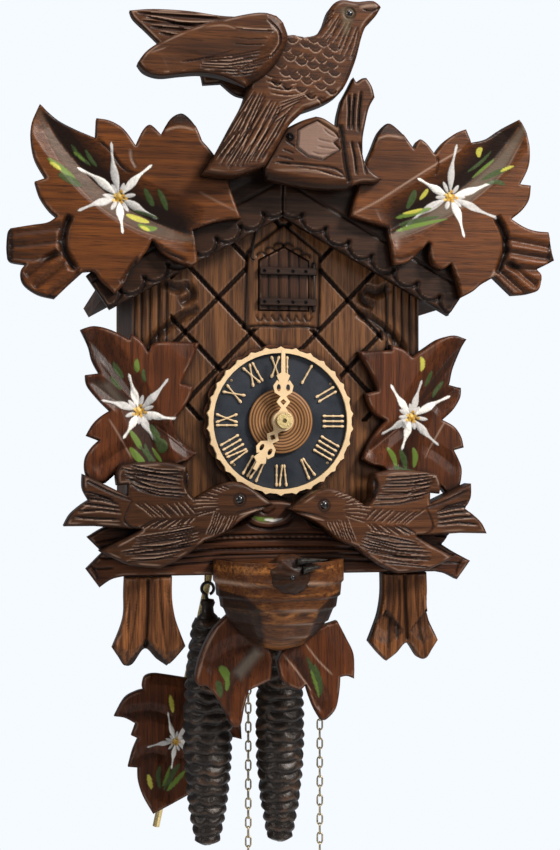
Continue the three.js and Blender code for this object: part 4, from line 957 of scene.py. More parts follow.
# ---- side leaves -----------------------------------------------------------------------------------
def side_leaf(cut, side, flower_at, tips):
    left = side is not flip
    wide = (9, 10) if left else (10, 9)
    tones = (0.35, 0.75) if left else (0.75, 0.3)
    cut.edge(1.6, dark=0.5)
    # painted shade on the troughs' facets, with the tones set above
    cut.trough(side(pts("-104,45 -94,35 -85,24 -76,10 -70,-6 -64,-28")), *wide, 3.6, *tones, taper=0.06)
    cut.trough(side(pts("-102,22 -93,15 -83,7")), 5.5, 5, 2.4, 0.5, 0.5, taper=0.15)
    if left:
        # a painted sheen where the facet catches the light
        cut.brush(pts("-99,19 -90,21 -82,11 -85,7"), SIDE_PAINTED_SHEEN, strength=0.6, soft=5)
    cut.trough(side(pts("-46,-17.5 -56,-10 -68,-1")), 5, 6, 2.4, 0.5, 0.1, taper=0.15)
    cut.trough(side(pts("-98,-26 -88,-18 -78,-12")), 5, 5, 1.2, 0.2, 0.0, taper=0.2)
    # painted highlights along the ridges, and painted shade on the slope below them
    cut.curve(side(pts("-95,31 -87,20 -79,11")), width=1.3, depth=-0.4, dark=-0.5)
    cut.curve(side(pts("-91,1 -85.5,-8 -79,-20")), width=1.5, depth=-0.4, dark=-0.6)
    cut.curve(side(pts("-67,-2.5 -58,-9 -47,-18")), width=1.2, depth=-0.4, dark=-0.4)
    cut.slope(side(pts("-45,33 -52,33 -60,40"))[:: -1 if left else 1], 9, 1.2, 0.3)
    flower(cut, *flower_at, tips)


def side_left(cut):
    tips = pts("-80.5,24.5 -60,22 -54.5,1 -66.5,-10.5 -83.5,-9.5 -95,10.5")
    side_leaf(cut, lambda line: line, (-75, 5), tips)
    greens(cut, """
        green 3 -88.5,30.5 -86,26 -83,22
        green 2.4 -90,23 -87,19 -84,16
        leaf 3.2 -76.5,32 -76.5,28 -76,25
        green 2.4 -73,27 -73,23 -72,20
        leaf 3.4 -80,-5 -76,-11 -74,-15
        leaf 4 -80,-14 -76,-19 -72,-22
        green 4 -69,-2 -66,-8 -66,-12
        green 6 -66,-10 -63,-13 -64,-17
        green 2.6 -72,-12 -70,-18 -66,-22
        leaf 2 -68,-14 -65,-19 -63,-22
        green 1.8 -75,-13 -71,-18 -69,-22
    """)


def side_right(cut):
    tips = pts("60,20 78,22.5 94,14 87,-13 67,-15.5 55,-7")
    side_leaf(cut, flip, (72.5, 2.5), tips)
    greens(cut, """
        yellow 3 77,35 78,31 77,27
        green 2.6 84,28 82,23 80,19
        leaf 3.4 58,-14 62,-19 64,-25
        green 3.4 66,-15 68,-20 69,-26
        leaf 3 73,-14 74,-19 73,-25
        green 3.6 62,-24 68,-27 74,-27
        green 2.4 90,22 86,17 84,13
    """)


# ---- birds -----------------------------------------------------------------------------------------
def eye_socket(cut, x, z, radius, **size):
    ring = [(x + radius * math.cos(a), z + radius * math.sin(a)) for a in np.arange(0, 6.5, 0.4)]
    cut.groove(ring, dark=1.0, taper=0, **size)


def side_bird(cut, move):
    """Feather strokes in bands from the head back to the forked tail."""
    way = 1 if move([(1, 0)])[0][0] > move([(0, 0)])[0][0] else -1
    cut.edge(2.2, drop=2.0, dark=0.35, wear_and_glint=0.5)
    cut.hill(*move([(-30, -45)])[0], 17, 14, 1.2)
    cut.hill(*move([(-62, -47)])[0], 26, 10, 0.9)

    def strokes(first, last, count, width=1.15, depth=0.8):
        first, last = move(first), move(last)
        if way < 0:
            first, last = last, first
        # feather cuts with stain and painted shade, and a painted highlight on their worn edges
        cut.comb(first, last, count, width=width, depth=depth, dark=0.85, glint=0.75)

    strokes(pts("-54,-26 -53,-33 -50,-41"), pts("-84,-22.5 -84,-29 -80,-36"), 8, 1.4, 1.0)
    strokes(pts("-72,-27 -70,-33 -68,-39"), pts("-86,-24.5 -84,-28 -81,-34"), 4)
    strokes(pts("-79,-41.5 -66,-42 -52,-41"), pts("-68,-50 -58,-49.5 -46,-47.5"), 10)
    strokes(pts("-76,-55 -66,-55.5 -52,-55"), pts("-66,-50 -57,-50 -47,-49"), 10)
    strokes(pts("-46,-55 -45,-60 -47,-65"), pts("-78,-60 -84,-65 -88,-70"), 7, 1.4, 1.0)
    strokes(pts("-48,-62 -52,-67 -57,-71"), pts("-74,-66 -80,-70 -84,-73"), 5)
    strokes(pts("-50,-53 -46,-57 -43,-62"), pts("-62,-55 -60,-60 -57,-66"), 7, 0.9, 0.5)
    strokes(pts("-104,-36 -106,-41 -112,-51"), pts("-90,-40.5 -84,-44.5 -86,-51"), 6, 1.5, 1.1)
    strokes(pts("-51,-38 -50,-44 -47,-50"), pts("-35,-39.5 -34,-43 -36,-46"), 6, 1.0, 0.6)
    strokes(pts("-37,-47 -31,-48.4 -25,-49.4"), pts("-42,-60 -36,-59.5 -28,-55"), 9, 0.9, 0.6)
    strokes(pts("-46,-37 -40,-34.6 -33,-33.4"), pts("-38,-40 -33,-36.6 -29,-34.6"), 5, 0.9, 0.5)
    # deep cuts with stain and painted shade, and painted highlight lines along the raised edges
    cut.curve(move(pts("-50.6,-24.5 -52.6,-31 -50.4,-37 -47,-40.6")), width=3.0, depth=1.8, dark=1.0)
    cut.curve(move(pts("-50,-25 -48.5,-31 -46,-37 -44,-39")), width=1.2, depth=0.2, dark=-0.6)
    cut.curve(move(pts("-80,-41 -90,-37.4 -103,-31")), width=1.8, depth=1.0, dark=0.7)
    cut.curve(move(pts("-79,-55.5 -84,-51 -80,-41")), width=1.6, depth=0.8, dark=0.6)
    cut.curve(move(pts("-27,-47.9 -19,-45.8 -8,-44.3")), width=1.3, depth=0.8, dark=1.0)
    cut.curve(move(pts("-25,-48.9 -18,-47.1 -9,-45.3")), width=0.9, depth=-0.3, dark=-0.9)
    eye_socket(cut, *move([(-24.5, -41)])[0], 3.1, width=1.5, depth=1.0)


def eyeball(name, x, y, z, radius):
    profile = [(radius * math.sin(a), z + radius * math.cos(a)) for a in np.linspace(0, math.pi, 13)]
    bead = turned(name, profile, 24, x, y)
    finish(bead, GLASS_EYE, "case")


def top_body(cut):
    cut.edge(3.0, drop=3.0, dark=0.35, wear_and_glint=0.5)
    cut.hill(10, 184, 24, 20, 2.2)
    # feather cuts with stain and painted shade, and a painted highlight on their worn edges
    tail = {"width": 1.1, "depth": 0.9, "dark": 0.85, "glint": 0.85}
    cut.comb(pts("-17,171 -9,166 0,158"), pts("-43,128 -31,127 -15,133"), 13, **tail)
    cut.comb(
        pts("-24,158 -20,150 -10,146"), pts("-40,133 -30,129 -20,130"), 9, width=0.9, depth=0.5,
        dark=0.6, glint=0.8,
    )
    cut.comb(
        pts("22,213 28,209 37,203"), pts("6,200 18,192 32,184"), 12, width=1.0, depth=0.6, dark=0.75,
        glint=0.6,
    )
    cut.comb(
        pts("14,170 8,166 2,162"), pts("-8,162 -10,157 -8,150"), 4, width=1.0, depth=0.6, dark=0.7,
        glint=0.8,
    )
    for i in range(4):
        cut.curve(
            [(-14 + i, 177 - 3 * i), (-5 + i, 175 - 2.6 * i), (3 + i, 176.5 - 2.6 * i)], width=1.0,
            depth=0.6, dark=0.5, glint=0.9,
        )
    for row in range(7):
        for i in range(5):
            x = -1 + 6.2 * i + (row % 2) * 3.1 - row * 1.1 + RNG.uniform(-0.8, 0.8)
            z = 200 - 4.4 * row - 1.9 * i + RNG.uniform(-0.7, 0.7)
            scale = [(x - 2.9, z + 0.9), (x - 0.6, z - 1.1), (x + 1.2, z - 1.0), (x + 2.8, z + 0.6)]
            # each scale: a dark patch, painted shadow under the scale above, and a cut whose worn edge has a
            # painted highlight
            cut.groove(
                [(x - 2.6, z + 1.9), (x - 0.4, z + 0.4), (x + 1.8, z + 0.9)], width=2.6, depth=0.5,
                dark=0.75, taper=0.4,
            )
            cut.curve(scale, width=1.3, depth=0.9, dark=0.95, glint=0.95)
    # a painted highlight line
    cut.curve(pts("27,173 20,167 8,161.5"), width=1.4, depth=-0.3, dark=-0.5)
    cut.curve(pts("38,213.5 43,213 48,215.6"), width=1.1, depth=0.8, dark=0.95)
    cut.brush(
        pts("26,213.5 31,215.5 34.5,213 33,208 30.5,200 27.5,199.5 27,206"), EYE_PATCH, strength=0.6,
        soft=3,
    )
    # painted highlights along the top of the beak and along the back
    cut.curve(pts("36,214.2 41,215.6 46,215.8"), width=2.6, depth=-0.1, dark=-0.75, taper=0.3)
    cut.curve(pts("-4,199 3,196.8 9,198.8"), width=4, depth=0.6, dark=-0.35, taper=0.3)
    # painted shade along the front of the breast
    cut.curve(pts("38,200 33,186 27,174"), width=4.5, depth=0.2, dark=0.6, taper=0.2)
    eye_socket(cut, 31, 211, 2.7, width=1.4, depth=0.8)


def wing_near(cut):
    cut.edge(1.8, dark=0.4, wear_and_glint=0.5)
    cut.curve(pts("-2,206 1,196 -5,185 -15,175 -26,167"), width=24, depth=5, dark=0, taper=0)
    cut.hill(-38, 191, 34, 12, 0.9)
    # feather cuts with stain and painted shade, and a painted highlight on their worn edges
    stroke = {"width": 1.3, "depth": 0.8, "dark": 0.8, "glint": 1.0}
    cut.comb(pts("-15,188 -19,181 -25,174"), pts("-48,181 -50,177.5 -42,174.5"), 7, **stroke)
    cut.comb(pts("-9,198 -12,193 -15,189"), pts("-30,198 -34,193 -35,188"), 3, **stroke)
    cut.comb(pts("-10,186 -15,181 -21,175"), pts("-24,180 -30,176.5 -34,173"), 5, **stroke)
    cut.curve(pts("-30,187 -44,182 -58,179"), **stroke)
    # a painted highlight line
    cut.curve(pts("-58,187 -66,185.5 -73,183"), width=1.2, depth=0.3, dark=-0.5)
    # a broad painted shade across the lower wing
    cut.curve(pts("-12,186 -30,190 -48,186 -66,178"), width=14, depth=0.5, dark=0.38, taper=0.25)
    cut.curve(pts("-14,203 -8,198 -7,191 -12,184"), width=1.6, depth=0.9, dark=0.9, glint=0.8)
    # painted shade where the shoulder drops to the body
    cut.curve(pts("-4,203 -1,195 -5,187 -14,176 -24,170"), width=8, depth=1.6, dark=0.8, taper=0.08)
    cut.curve(pts("-46,197 -36,198.5 -27,196"), width=1.3, depth=0.3, dark=-0.5, taper=0.4)


def wing_far(cut):
    cut.edge(1.4, dark=0.5, wear_and_glint=0.7)
    # feather cuts with stain and painted shade, and a painted highlight on their worn edges
    cut.comb(
        pts("-31,208.7 -35,201.8 -37,193.8 -37,178"),
        pts("-80.7,209.2 -74.8,203.7 -62.9,195.7 -47,181.7"), 8, width=1.9, depth=1.3, dark=1.0,
        glint=1.0,
    )
    cut.comb(
        pts("-35,205.7 -39,200.7 -45,195.7"), pts("-76.8,208.1 -72.8,202.7 -64.9,196.7"), 4, width=1.0,
        depth=0.3, dark=0.8, glint=1.0,
    )


def branch(cut):
    """A sawn stump with a pale cracked face, and the bark of the forked twig."""
    cut.edge(2.0, drop=1.8, dark=0.6)
    # painted shadow along the branch's bottom edge
    cut.curve(pts("-13,126 5,123 20,121.5 34,122"), width=8, depth=1.6, dark=0.95, taper=0.03)
    face = pts("5,150 9,152.5 15,155.5 24,150 26.5,147 23.5,144.5 27,141 22.5,138.5 18,135.5 10,137 4.5,141")
    cut.brush(face, SAWN, strength=0.8)
    cut.groove(face + face[:1], width=1.8, depth=1.0, dark=0.9, taper=0, glint=0.5)
    # a painted highlight line above it
    cut.curve(pts("-12,128.5 4,129.5 18,128.5 30,125.5"), width=2.2, depth=0.2, dark=-0.35, taper=0.2)
    cut.brush(pts("17,157 22,155 27,152 25,149 16,154"), SAWN_RIM, strength=0.6)
    for line in (
        pts("15,142 20,141.5 26,141"), pts("12,139 17,138 22,138.5"), pts("18,152 21,149 26,147"),
        pts("15,146 19,145 23,144.5"),
    ):
        cut.curve(line, width=1.1, depth=0.7, dark=0.85, glint=0.5)
    cut.curve(pts("27,154 28.5,146 30,134 32,124"), width=3.4, depth=1.8, dark=0.95, taper=0.05)
    cut.comb(pts("-9,132 -5,138 -1,146"), pts("2,131 3,137 4,143"), 4, width=1.2, depth=0.7, dark=0.8)
    cut.comb(
        pts("31,172 35,172 40,174"), pts("31,150 34,149 38,150"), 3, width=2.0, depth=1.5, dark=0.95,
        glint=0.5,
    )
    cut.comb(
        pts("31,148 35,148 38,147"), pts("34,127 39,127 45,126.5"), 2, width=1.7, depth=1.3, dark=0.95,
        glint=0.6,
    )
    cut.comb(
        pts("0,131.5 8,130.8 20,129.5"), pts("24,128 30,126 36,126"), 2, width=1.0, depth=0.5, dark=0.6,
        glint=0.5,
    )
    cut.curve(pts("-6,133 8,132.5 24,131 30,126.5"), width=1.6, depth=0.9, dark=0.8, glint=0.4)


def shade_block():
    """A dark block behind the stump that fills the gap between the branch and the fascia: painted shade where
    the roof lies in shadow.
    """
    block = gather("branch_shade_block", [plank(4, 33, 123.5, 138.5, -118.2, -126.5)], smooth=False)
    finish(block, DOOR_WOOD, "case")


def peg():
    """The blackened peg in the stump beside the tail."""
    finish(gather("stump_peg", [stud(0.6, -133.2, 146.6, 2.3, 2.4, 18)]), PEG, "case")


# ---- base rail, feet, fascia, nest leaves, pendulum leaf -------------------------------------------
def rail(cut):
    cut.edge(1.8, dark=0.5)
    for z, width, dark in (
        (-60, 1.2, 0.8), (-62.6, 1.6, 0.9), (-67.2, 2.2, 0.95), (-70.4, 1.2, 0.7), (-73.6, 1.6, 0.85),
    ):
        cut.groove(
            [(-62, z - 1.6), (-30, z - 0.3), (0, z), (30, z - 0.3), (62, z - 1.6)], width=width,
            depth=1.3, dark=dark, taper=0.04,
        )
    # light dashes on the beads: painted highlights between the dark grooves
    for i in range(-14, 15):
        cut.groove(
            [(i * 3.3 - 0.7, -61.4), (i * 3.3 + 0.7, -61.4)], width=1.0, depth=0.5, dark=-0.5, taper=0,
        )
        cut.groove(
            [(i * 3.3 - 0.9, -67.2), (i * 3.3 + 0.5, -67.2)], width=1.1, depth=-0.3, dark=-0.4, taper=0,
        )
    cut.curve(pts("-20,-51 -15,-55.5 -6,-57 3,-55 8,-50"), width=2.0, depth=1.4, dark=0.9)
    # a painted highlight along the ridge
    cut.curve(pts("-18,-49 -13,-52.8 -5,-54 2,-52 6,-48"), width=1.4, depth=-0.4, dark=-0.7)
    cut.curve(pts("-13,-46 -8,-49 -3,-46"), width=1.6, depth=1.0, dark=0.7)
    for side in (-1, 1):
        cut.comb(
            [(side * 84, -60), (side * 86, -68), (side * 88, -78)],
            [(side * 100, -62), (side * 96, -70), (side * 101, -78)], 4, width=1.5, depth=1.0, dark=0.8,
        )
        cut.curve(
            [(side * 96, -83), (side * 98.5, -76), (side * 103, -74)], width=1.3, depth=0.8, dark=0.7,
        )
    greens(cut, """
        leaf 2.6 -15,-50.5 -10,-52 -4,-51.5
        white 1.6 -9,-52 -4,-52.6 1,-51.5
    """)


def foot(cut, side):
    cut.edge(1.6, dark=0.5)
    cut.groove(side(pts("-70.2,-82 -70.5,-100 -71.5,-118")), width=2.8, depth=2.2, dark=0.8, taper=0.03)
    for line in (
        pts("-76,-82 -76.5,-98 -80,-120"), pts("-64,-82 -63.5,-98 -60.5,-122"),
        pts("-67,-84 -67,-104 -66,-117"),
    ):
        cut.curve(side(line), width=1.5, depth=1.0, dark=0.6, taper=0.05)
    cut.comb(
        side(pts("-80,-84 -72,-84 -60,-84")), side(pts("-85,-112 -72,-112 -54,-112")), 12, width=0.9,
        depth=0.4, dark=0.5,
    )
    # painted shade on the chamfered toes
    cut.slope(side(pts("-90,-114 -80,-119 -72,-113"))[::-1], 7, 2.4, 0.45)
    cut.slope(side(pts("-70,-113 -60,-120 -50,-114"))[::-1], 7, 2.4, 0.45)


def shingles(cut, side):
    """Two rows of shingle arcs down the sloping board, with a bead along its top edge."""
    run = (1 / math.hypot(1, SLOPE), -SLOPE / math.hypot(1, SLOPE))
    up = (-run[1], run[0])
    cut.edge(1.2, dark=0.5)
    cut.groove(side(pts("0,127 100,71")), width=1.6, depth=1.0, dark=0.8, taper=0)
    # a broad painted shadow across the board under the crown leaves
    cut.curve(side(pts("-2,137 40,113 84,88")), width=15, depth=0.6, dark=0.6, taper=0)
    for row, drop in enumerate((2, 10.5)):
        for i in range(8):
            s = 6 + 14.4 * i + 7.2 * row
            x, z = s * run[0] + (up[0] * -drop), 118 + s * run[1] - drop
            arc = []
            for a in np.linspace(math.pi, 2 * math.pi, 9):
                out, low = 7.1 * math.cos(a), 5.6 * math.sin(a)
                arc.append((x + out * run[0] + low * up[0], z + out * run[1] + low * up[1]))
            cut.groove(side(arc), width=2.2, depth=1.8, dark=0.95, taper=0)
            # a painted highlight along the lip of each shingle
            cut.groove(side([
                (px, pz + 1.5) for px, pz in arc[2:-2]
            ]), width=0.9, depth=-0.2, dark=-0.4, taper=0.3)


def nest_leaf_left(cut):
    cut.edge(1.4, dark=0.5)
    # painted shade on the troughs' facets, a painted highlight line and a painted sheen
    cut.trough(pts("-9,-120 -18,-130 -26,-142 -27,-158"), 7, 6, 2.6, 0.1, 0.6)
    cut.trough(pts("-12,-118 -26,-120 -40,-130"), 5, 7, 2.0, 0.3, 0.1)
    cut.curve(pts("-33,-107 -40,-120 -44,-134"), width=1.3, depth=-0.3, dark=-0.6)
    cut.brush(pts("-26,-132 -14,-119 -9,-123 -21,-137"), NEST_PAINTED_SHEEN, strength=0.7, soft=4)
    greens(cut, """
        leaf 5 -33,-129 -30,-132 -28.5,-137
        green 4 -34,-136 -33,-140 -32,-145
        leaf 3 -29,-134 -28.5,-138 -29,-142
    """)


def nest_leaf_right(cut):
    cut.edge(1.4, dark=0.5)
    # painted shade on the trough's facet and the sloping edge, painted highlight lines on the ridges
    cut.trough(pts("4,-124 13,-137 23,-155"), 8, 5, 2.6, 0.5, 0.0)
    cut.curve(pts("1,-123 10,-134 21,-149"), width=1.3, depth=-0.4, dark=-0.9)
    cut.curve(pts("13,-118 20,-127 28,-135"), width=1.2, depth=-0.4, dark=-0.9)
    cut.slope(pts("22,-112 31,-123 37,-134"), 7, 0.8, 0.15)
    greens(cut, """
        green 3 14,-125 18,-134 20,-141
        green 2.8 18,-129 21,-138 22,-146
        leaf 1.8 16,-132 19,-140 21,-147
    """)


def hung(points):
    """From (across, below the pivot) to the place of the pendulum at rest."""
    c, s = math.cos(math.radians(12.1)), math.sin(math.radians(12.1))
    return [(u * c - v * s, 28 - v * c - u * s) for u, v in points]


def pendulum_outline():
    left = [[(-u, v) for u, v in run] for run in PENDULUM_HALF]
    right = []
    for i in range(len(PENDULUM_HALF) - 2, -1, -1):
        run = list(PENDULUM_HALF[i])[::-1]
        after = PENDULUM_HALF[i - 1][-1:] if i else [[0, 180]]
        right.append([tuple(p) for p in run[1:]] + [tuple(after[0])])
    lower = pts("10,249 16.5,243 18.5,235.5")
    return outline([hung(run) for run in [[(0, 180)], *left, lower, *right]])


def pendulum_leaf(cut):
    cut.edge(1.4, dark=0.5)
    # painted shade on the troughs' facets and on the slope below the top
    cut.trough(hung(pts("0,184 0.5,215 0,252")), 9, 9, 1.6, 0.15, 0.35, taper=0.1)
    cut.slope(hung(pts("-22,187 0,186 22,187")), 5, 1.0, 0.3)
    cut.trough(hung(pts("-3,204 -18,202 -36,208")), 6, 5, 1.4, 0.5, 0.1)
    cut.trough(hung(pts("3,204 18,202 36,208")), 5, 6, 1.4, 0.1, 0.4)
    cut.trough(hung(pts("-3,226 -14,226 -23,233")), 5, 5, 1.2, 0.4, 0)
    cut.trough(hung(pts("3,226 14,226 23,233")), 5, 5, 1.2, 0, 0.4)
    spot = hung([(0, 217)])[0]
    tips = hung(pts("-8,201 7,200 15,212 14,224 1,233 -16,223"))
    flower(cut, *spot, tips, size=0.72)
    greens(cut, """
        yellow 3 -9,191 -7,196 -5,201
        green 3 -6,232 -6,238 -3,245
        green 3.4 5,229 2,236 -1,246
        leaf 3 9,232 5,239 1,246
        yellow 3 -12,238 -10,242 -8,246
        leaf 2 0,231 -1,238 -2,244
    """, hung)


# ---- swept and turned shapes -----------------------------------------------------------------------
def turned(name, profile, segments, x=0.0, y=0.0):
    """A lathe about the upright line at x, y; the profile is (radius, height) from top to bottom."""
    verts, faces, rings = [], [], []
    for r, z in profile:
        if r < 1e-6:
            rings.append([len(verts)])
            verts.append(at(x, y, z))
            continue
        rings.append(list(range(len(verts), len(verts) + segments)))
        for k in range(segments):
            a = 2 * math.pi * k / segments
            verts.append(at(x + r * math.cos(a), y + r * math.sin(a), z))
    for top, low in zip(rings, rings[1:]):
        for k in range(segments):
            n = (k + 1) % segments
            if len(top) == 1:
                faces.append((top[0], low[k], low[n]))
            elif len(low) == 1:
                faces.append((top[k], low[0], top[n]))
            else:
                faces.append((top[k], low[k], low[n], top[n]))
    return mesh_object(name, verts, faces)


def tube(points, radius, sides=8, closed=False):
    """Vertices and faces of a round wire along points in dial millimetres."""
    p = np.array(points, float)
    n = len(p)
    verts, faces = [], []
    ahead = np.roll(p, -1, axis=0) - np.roll(p, 1, axis=0) if closed else np.gradient(p, axis=0)
    ahead /= np.linalg.norm(ahead, axis=1)[:, None]
    side = np.cross(ahead[0], [0.3, 0.2, 0.93])
    for i in range(n):
        side = side - ahead[i] * np.dot(side, ahead[i])
        side /= np.linalg.norm(side)
        over = np.cross(ahead[i], side)
        for k in range(sides):
            a = 2 * math.pi * k / sides
            verts.append(at(*(p[i] + radius * (math.cos(a) * side + math.sin(a) * over))))
    for i in range(n if closed else n - 1):
        j = (i + 1) % n
        for k in range(sides):
            m = (k + 1) % sides
            faces.append((i * sides + k, j * sides + k, j * sides + m, i * sides + m))
    if not closed:
        faces.append(tuple(reversed(range(sides))))
        faces.append(tuple((n - 1) * sides + k for k in range(sides)))
    return verts, faces


def gather(name, parts, smooth=True):
    verts, faces = [], []
    for some, links in parts:
        base = len(verts)
        verts += some
        faces += [tuple(i + base for i in face) for face in links]
    return mesh_object(name, verts, faces, smooth)


# ---- chains ----------------------------------------------------------------------------------------
LINK_PITCH = 5.3
LINK_HALF = 3.05  # half of a link's length to the middle of its wire
LINK_SIDE = 1.4
LINK_WIRE = 0.5


def link(centre, along, across):
    """One oval link lying in the plane of along and across."""
    points = []
    flat = LINK_HALF - LINK_SIDE
    for turn in range(2):
        sign = 1 - 2 * turn
        for a in np.linspace(-math.pi / 2, math.pi / 2, 5):
            u = sign * (flat + LINK_SIDE * math.cos(a))
            v = sign * LINK_SIDE * math.sin(a)
            points.append(centre + along * u + across * v)
    return tube(points, LINK_WIRE, 6, closed=True)


def chain(name, route):
    """Links along a route, each turned a quarter from the one before it."""
    p = np.array(route, float)
    run = np.concatenate([[0], np.cumsum(np.linalg.norm(np.diff(p, axis=0), axis=1))])
    count = int(run[-1] // LINK_PITCH)
    pitch = run[-1] / count
    where = lambda s: np.array([np.interp(s, run, p[:, k]) for k in range(3)])
    side = np.array([0.96, -0.28, 0.02])
    parts = []
    for i in range(count):
        first, last = where(i * pitch), where((i + 1) * pitch)
        along = (last - first) / np.linalg.norm(last - first)
        side = side - along * np.dot(side, along)
        side /= np.linalg.norm(side)
        across = side if i % 2 else np.cross(along, side)
        parts.append(link((first + last) / 2, along, across))
    return gather(name, parts)


DRIVE_Y = -62
SPROCKET = {"x": 20.5, "z": -35, "r": 11.5}
COIL = {"top": -328, "foot": -378, "half": 8, "turns": 9, "front": -83.2, "pitch": 4.7}


def free_route(x):
    """Down from the sprocket, then wound flat over and over into a hank, and back to the ring below it."""
    y = DRIVE_Y
    route = [(x, y, z) for z in np.linspace(SPROCKET["z"], -296, 22)]
    route += [(x + 3, y - 8, -303), (x + 6.5, y - 16, -312), (x + COIL["half"], COIL["front"], -322)]
    lap = []
    for a in np.linspace(0, -math.pi, 6):
        lap.append((COIL["half"] * math.cos(a), COIL["foot"] + COIL["half"] * math.sin(a)))
    lap.append((-COIL["half"], (COIL["top"] + COIL["foot"]) / 2))
    for a in np.linspace(math.pi, 0, 6):
        lap.append((COIL["half"] * math.cos(a), COIL["top"] + COIL["half"] * math.sin(a)))
    lap.append((COIL["half"], (COIL["top"] + COIL["foot"]) / 2))
    total = COIL["turns"] * len(lap)
    for i in range(total - 1):
        dx, z = lap[i % len(lap)]
        sway = 0.5 * math.sin(i * 0.9)
        route.append((x + dx, COIL["front"] + COIL["pitch"] * COIL["turns"] * i / total + sway, z))
    route += [(x + 7.5, -44, -376), (x + 4, -50, -387.2), (x + 1, y, -388.4)]
    return route


def chains():
    for name, side in (("left", -1), ("right", 1)):
        free_x = side * SPROCKET["x"] + SPROCKET["r"]
        cone_x = side * SPROCKET["x"] - SPROCKET["r"]
        route = free_route(free_x)
        loose = chain(f"free_chain_{name}", route)
        loose.data.materials.append(CHAIN_BRASS)
        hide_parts(f"chain_{name}_free", f"chain_{name}_hank")
        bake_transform(loose)
        held = chain(f"weight_chain_{name}", [(cone_x, DRIVE_Y, z) for z in np.linspace(-35, -89.6, 12)])
        held.data.materials.append(CHAIN_BRASS)
        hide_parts(f"chain_{name}_weight")
        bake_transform(held)
        middle = side * SPROCKET["x"]
        over = []
        for a in np.linspace(0.03, math.pi - 0.03, 12):
            across, up = SPROCKET["r"] * math.cos(a), SPROCKET["r"] * math.sin(a)
            over.append((middle + across, DRIVE_Y, SPROCKET["z"] + up))
        finish(chain(f"chain_{name}_over", over), CHAIN_BRASS, "case")


# ---- pine cones ------------------------------------------------------------------------------------
CONE_ROWS = 22


def cone_swell(t):
    return 14 * math.sin(math.pi * (0.16 + 0.745 * t**1.12)) ** 0.62


def pine_cone(name, x, side):
    """Rows of low overlapping scales, whose lips run round the cone in waves."""
    segments, levels = 144, CONE_ROWS * 12
    top, foot = -109, -235
    rng = np.random.default_rng(20 + side)
    angles = 2 * np.pi * np.arange(segments) / segments
    wave = np.zeros((CONE_ROWS + 2, segments))
    tall = np.ones((CONE_ROWS + 2, segments))
    for row in range(CONE_ROWS + 2):
        scales = 6 + row % 2
        shift = rng.uniform(0, 2 * np.pi)
        arch = np.abs(np.sin((angles * scales + shift + 0.5 * np.sin(angles * 2 + shift)) / 2))
        wave[row] = 0.2 * (arch - 0.6) + 0.1 * np.sin(angles * 2 + shift) + 0.05 * np.sin(angles * 5 - shift)
        tall[row] = 0.7 + 0.3 * arch ** 0.6
    verts, faces, lips = [], [], []
    for j in range(levels + 1):
        t = j / levels
        z = top + (foot - top) * t
        best, lip = np.zeros(segments), np.zeros(segments)
        for row in range(CONE_ROWS + 1):
            v = t * CONE_ROWS - row + 0.15 - wave[row]
            rise = np.sin(math.pi * np.clip(v / 1.12, 0, 1) ** 1.35) ** 0.8 * tall[row]
            lip = np.where(rise > best, np.exp(-(((v - 0.68) / 0.2) ** 2)), lip)
            best = np.maximum(best, rise)
        end = min(1, t * 14 + 0.35)
        swell = cone_swell(t) * min(1, (1 - t) * 40 + 0.12) ** 0.5
        radius = np.minimum(swell, np.maximum(0.4, swell - 1.9) + 1.9 * best * end)
        for a, r in zip(angles, radius):
            verts.append(at(x + r * math.cos(a), DRIVE_Y + r * math.sin(a), z))
        lips += list(lip)
    for j in range(levels):
        for k in range(segments):
            m = (k + 1) % segments
            p, q = j * segments, (j + 1) * segments
            faces.append((p + k, q + k, q + m, p + m))
    faces.append(tuple(range(segments)))
    faces.append(tuple(levels * segments + k for k in reversed(range(segments))))
    body = mesh_object(name, verts, faces)
    Carving.store(body.data, "lip", np.array(lips))
    neck = pts("0,-98 3.4,-98.6 4.2,-100.5 3.2,-103 3.6,-106 5.6,-108 5.8,-110.5 0,-111")
    stem = turned(name + "_stem", neck, 32, x, DRIVE_Y)
    Carving.store(stem.data, "lip", np.zeros(len(stem.data.vertices)))
    hook = []
    for a in np.linspace(-1.2, 4.4, 22):
        hook.append((x + 3.4 * math.cos(a), DRIVE_Y, -92.6 + 3.4 * math.sin(a)))
    hook += [(x - 0.6, DRIVE_Y, -97.2), (x, DRIVE_Y, -99)]
    eye = gather(name + "_hook", [tube(hook, 0.9, 10)])
    word = name.split("_")[0]
    finish(body, CONE, f"{word}_weight", f"weight_{word}")
    finish(stem, CONE, f"{word}_weight")
    finish(eye, BLACK_STEEL, f"{word}_weight")


# ---- dial numerals and pins ------------------------------------------------------------------------
# A numeral bar's half width at shares of its length.
BOBBIN = (
    [0, 0.05, 0.11, 0.17, 0.42, 0.5, 0.58, 0.83, 0.89, 0.95, 1],
    [0.55, 1.05, 1.1, 0.66, 0.6, 0.92, 0.6, 0.66, 1.1, 1.05, 0.55],
)
NUMERALS = ["XII", "I", "II", "III", "IIII", "V", "VI", "VII", "VIII", "IX", "X", "XI"]
NUMERAL_IN, NUMERAL_OUT = 23.0, 34.6


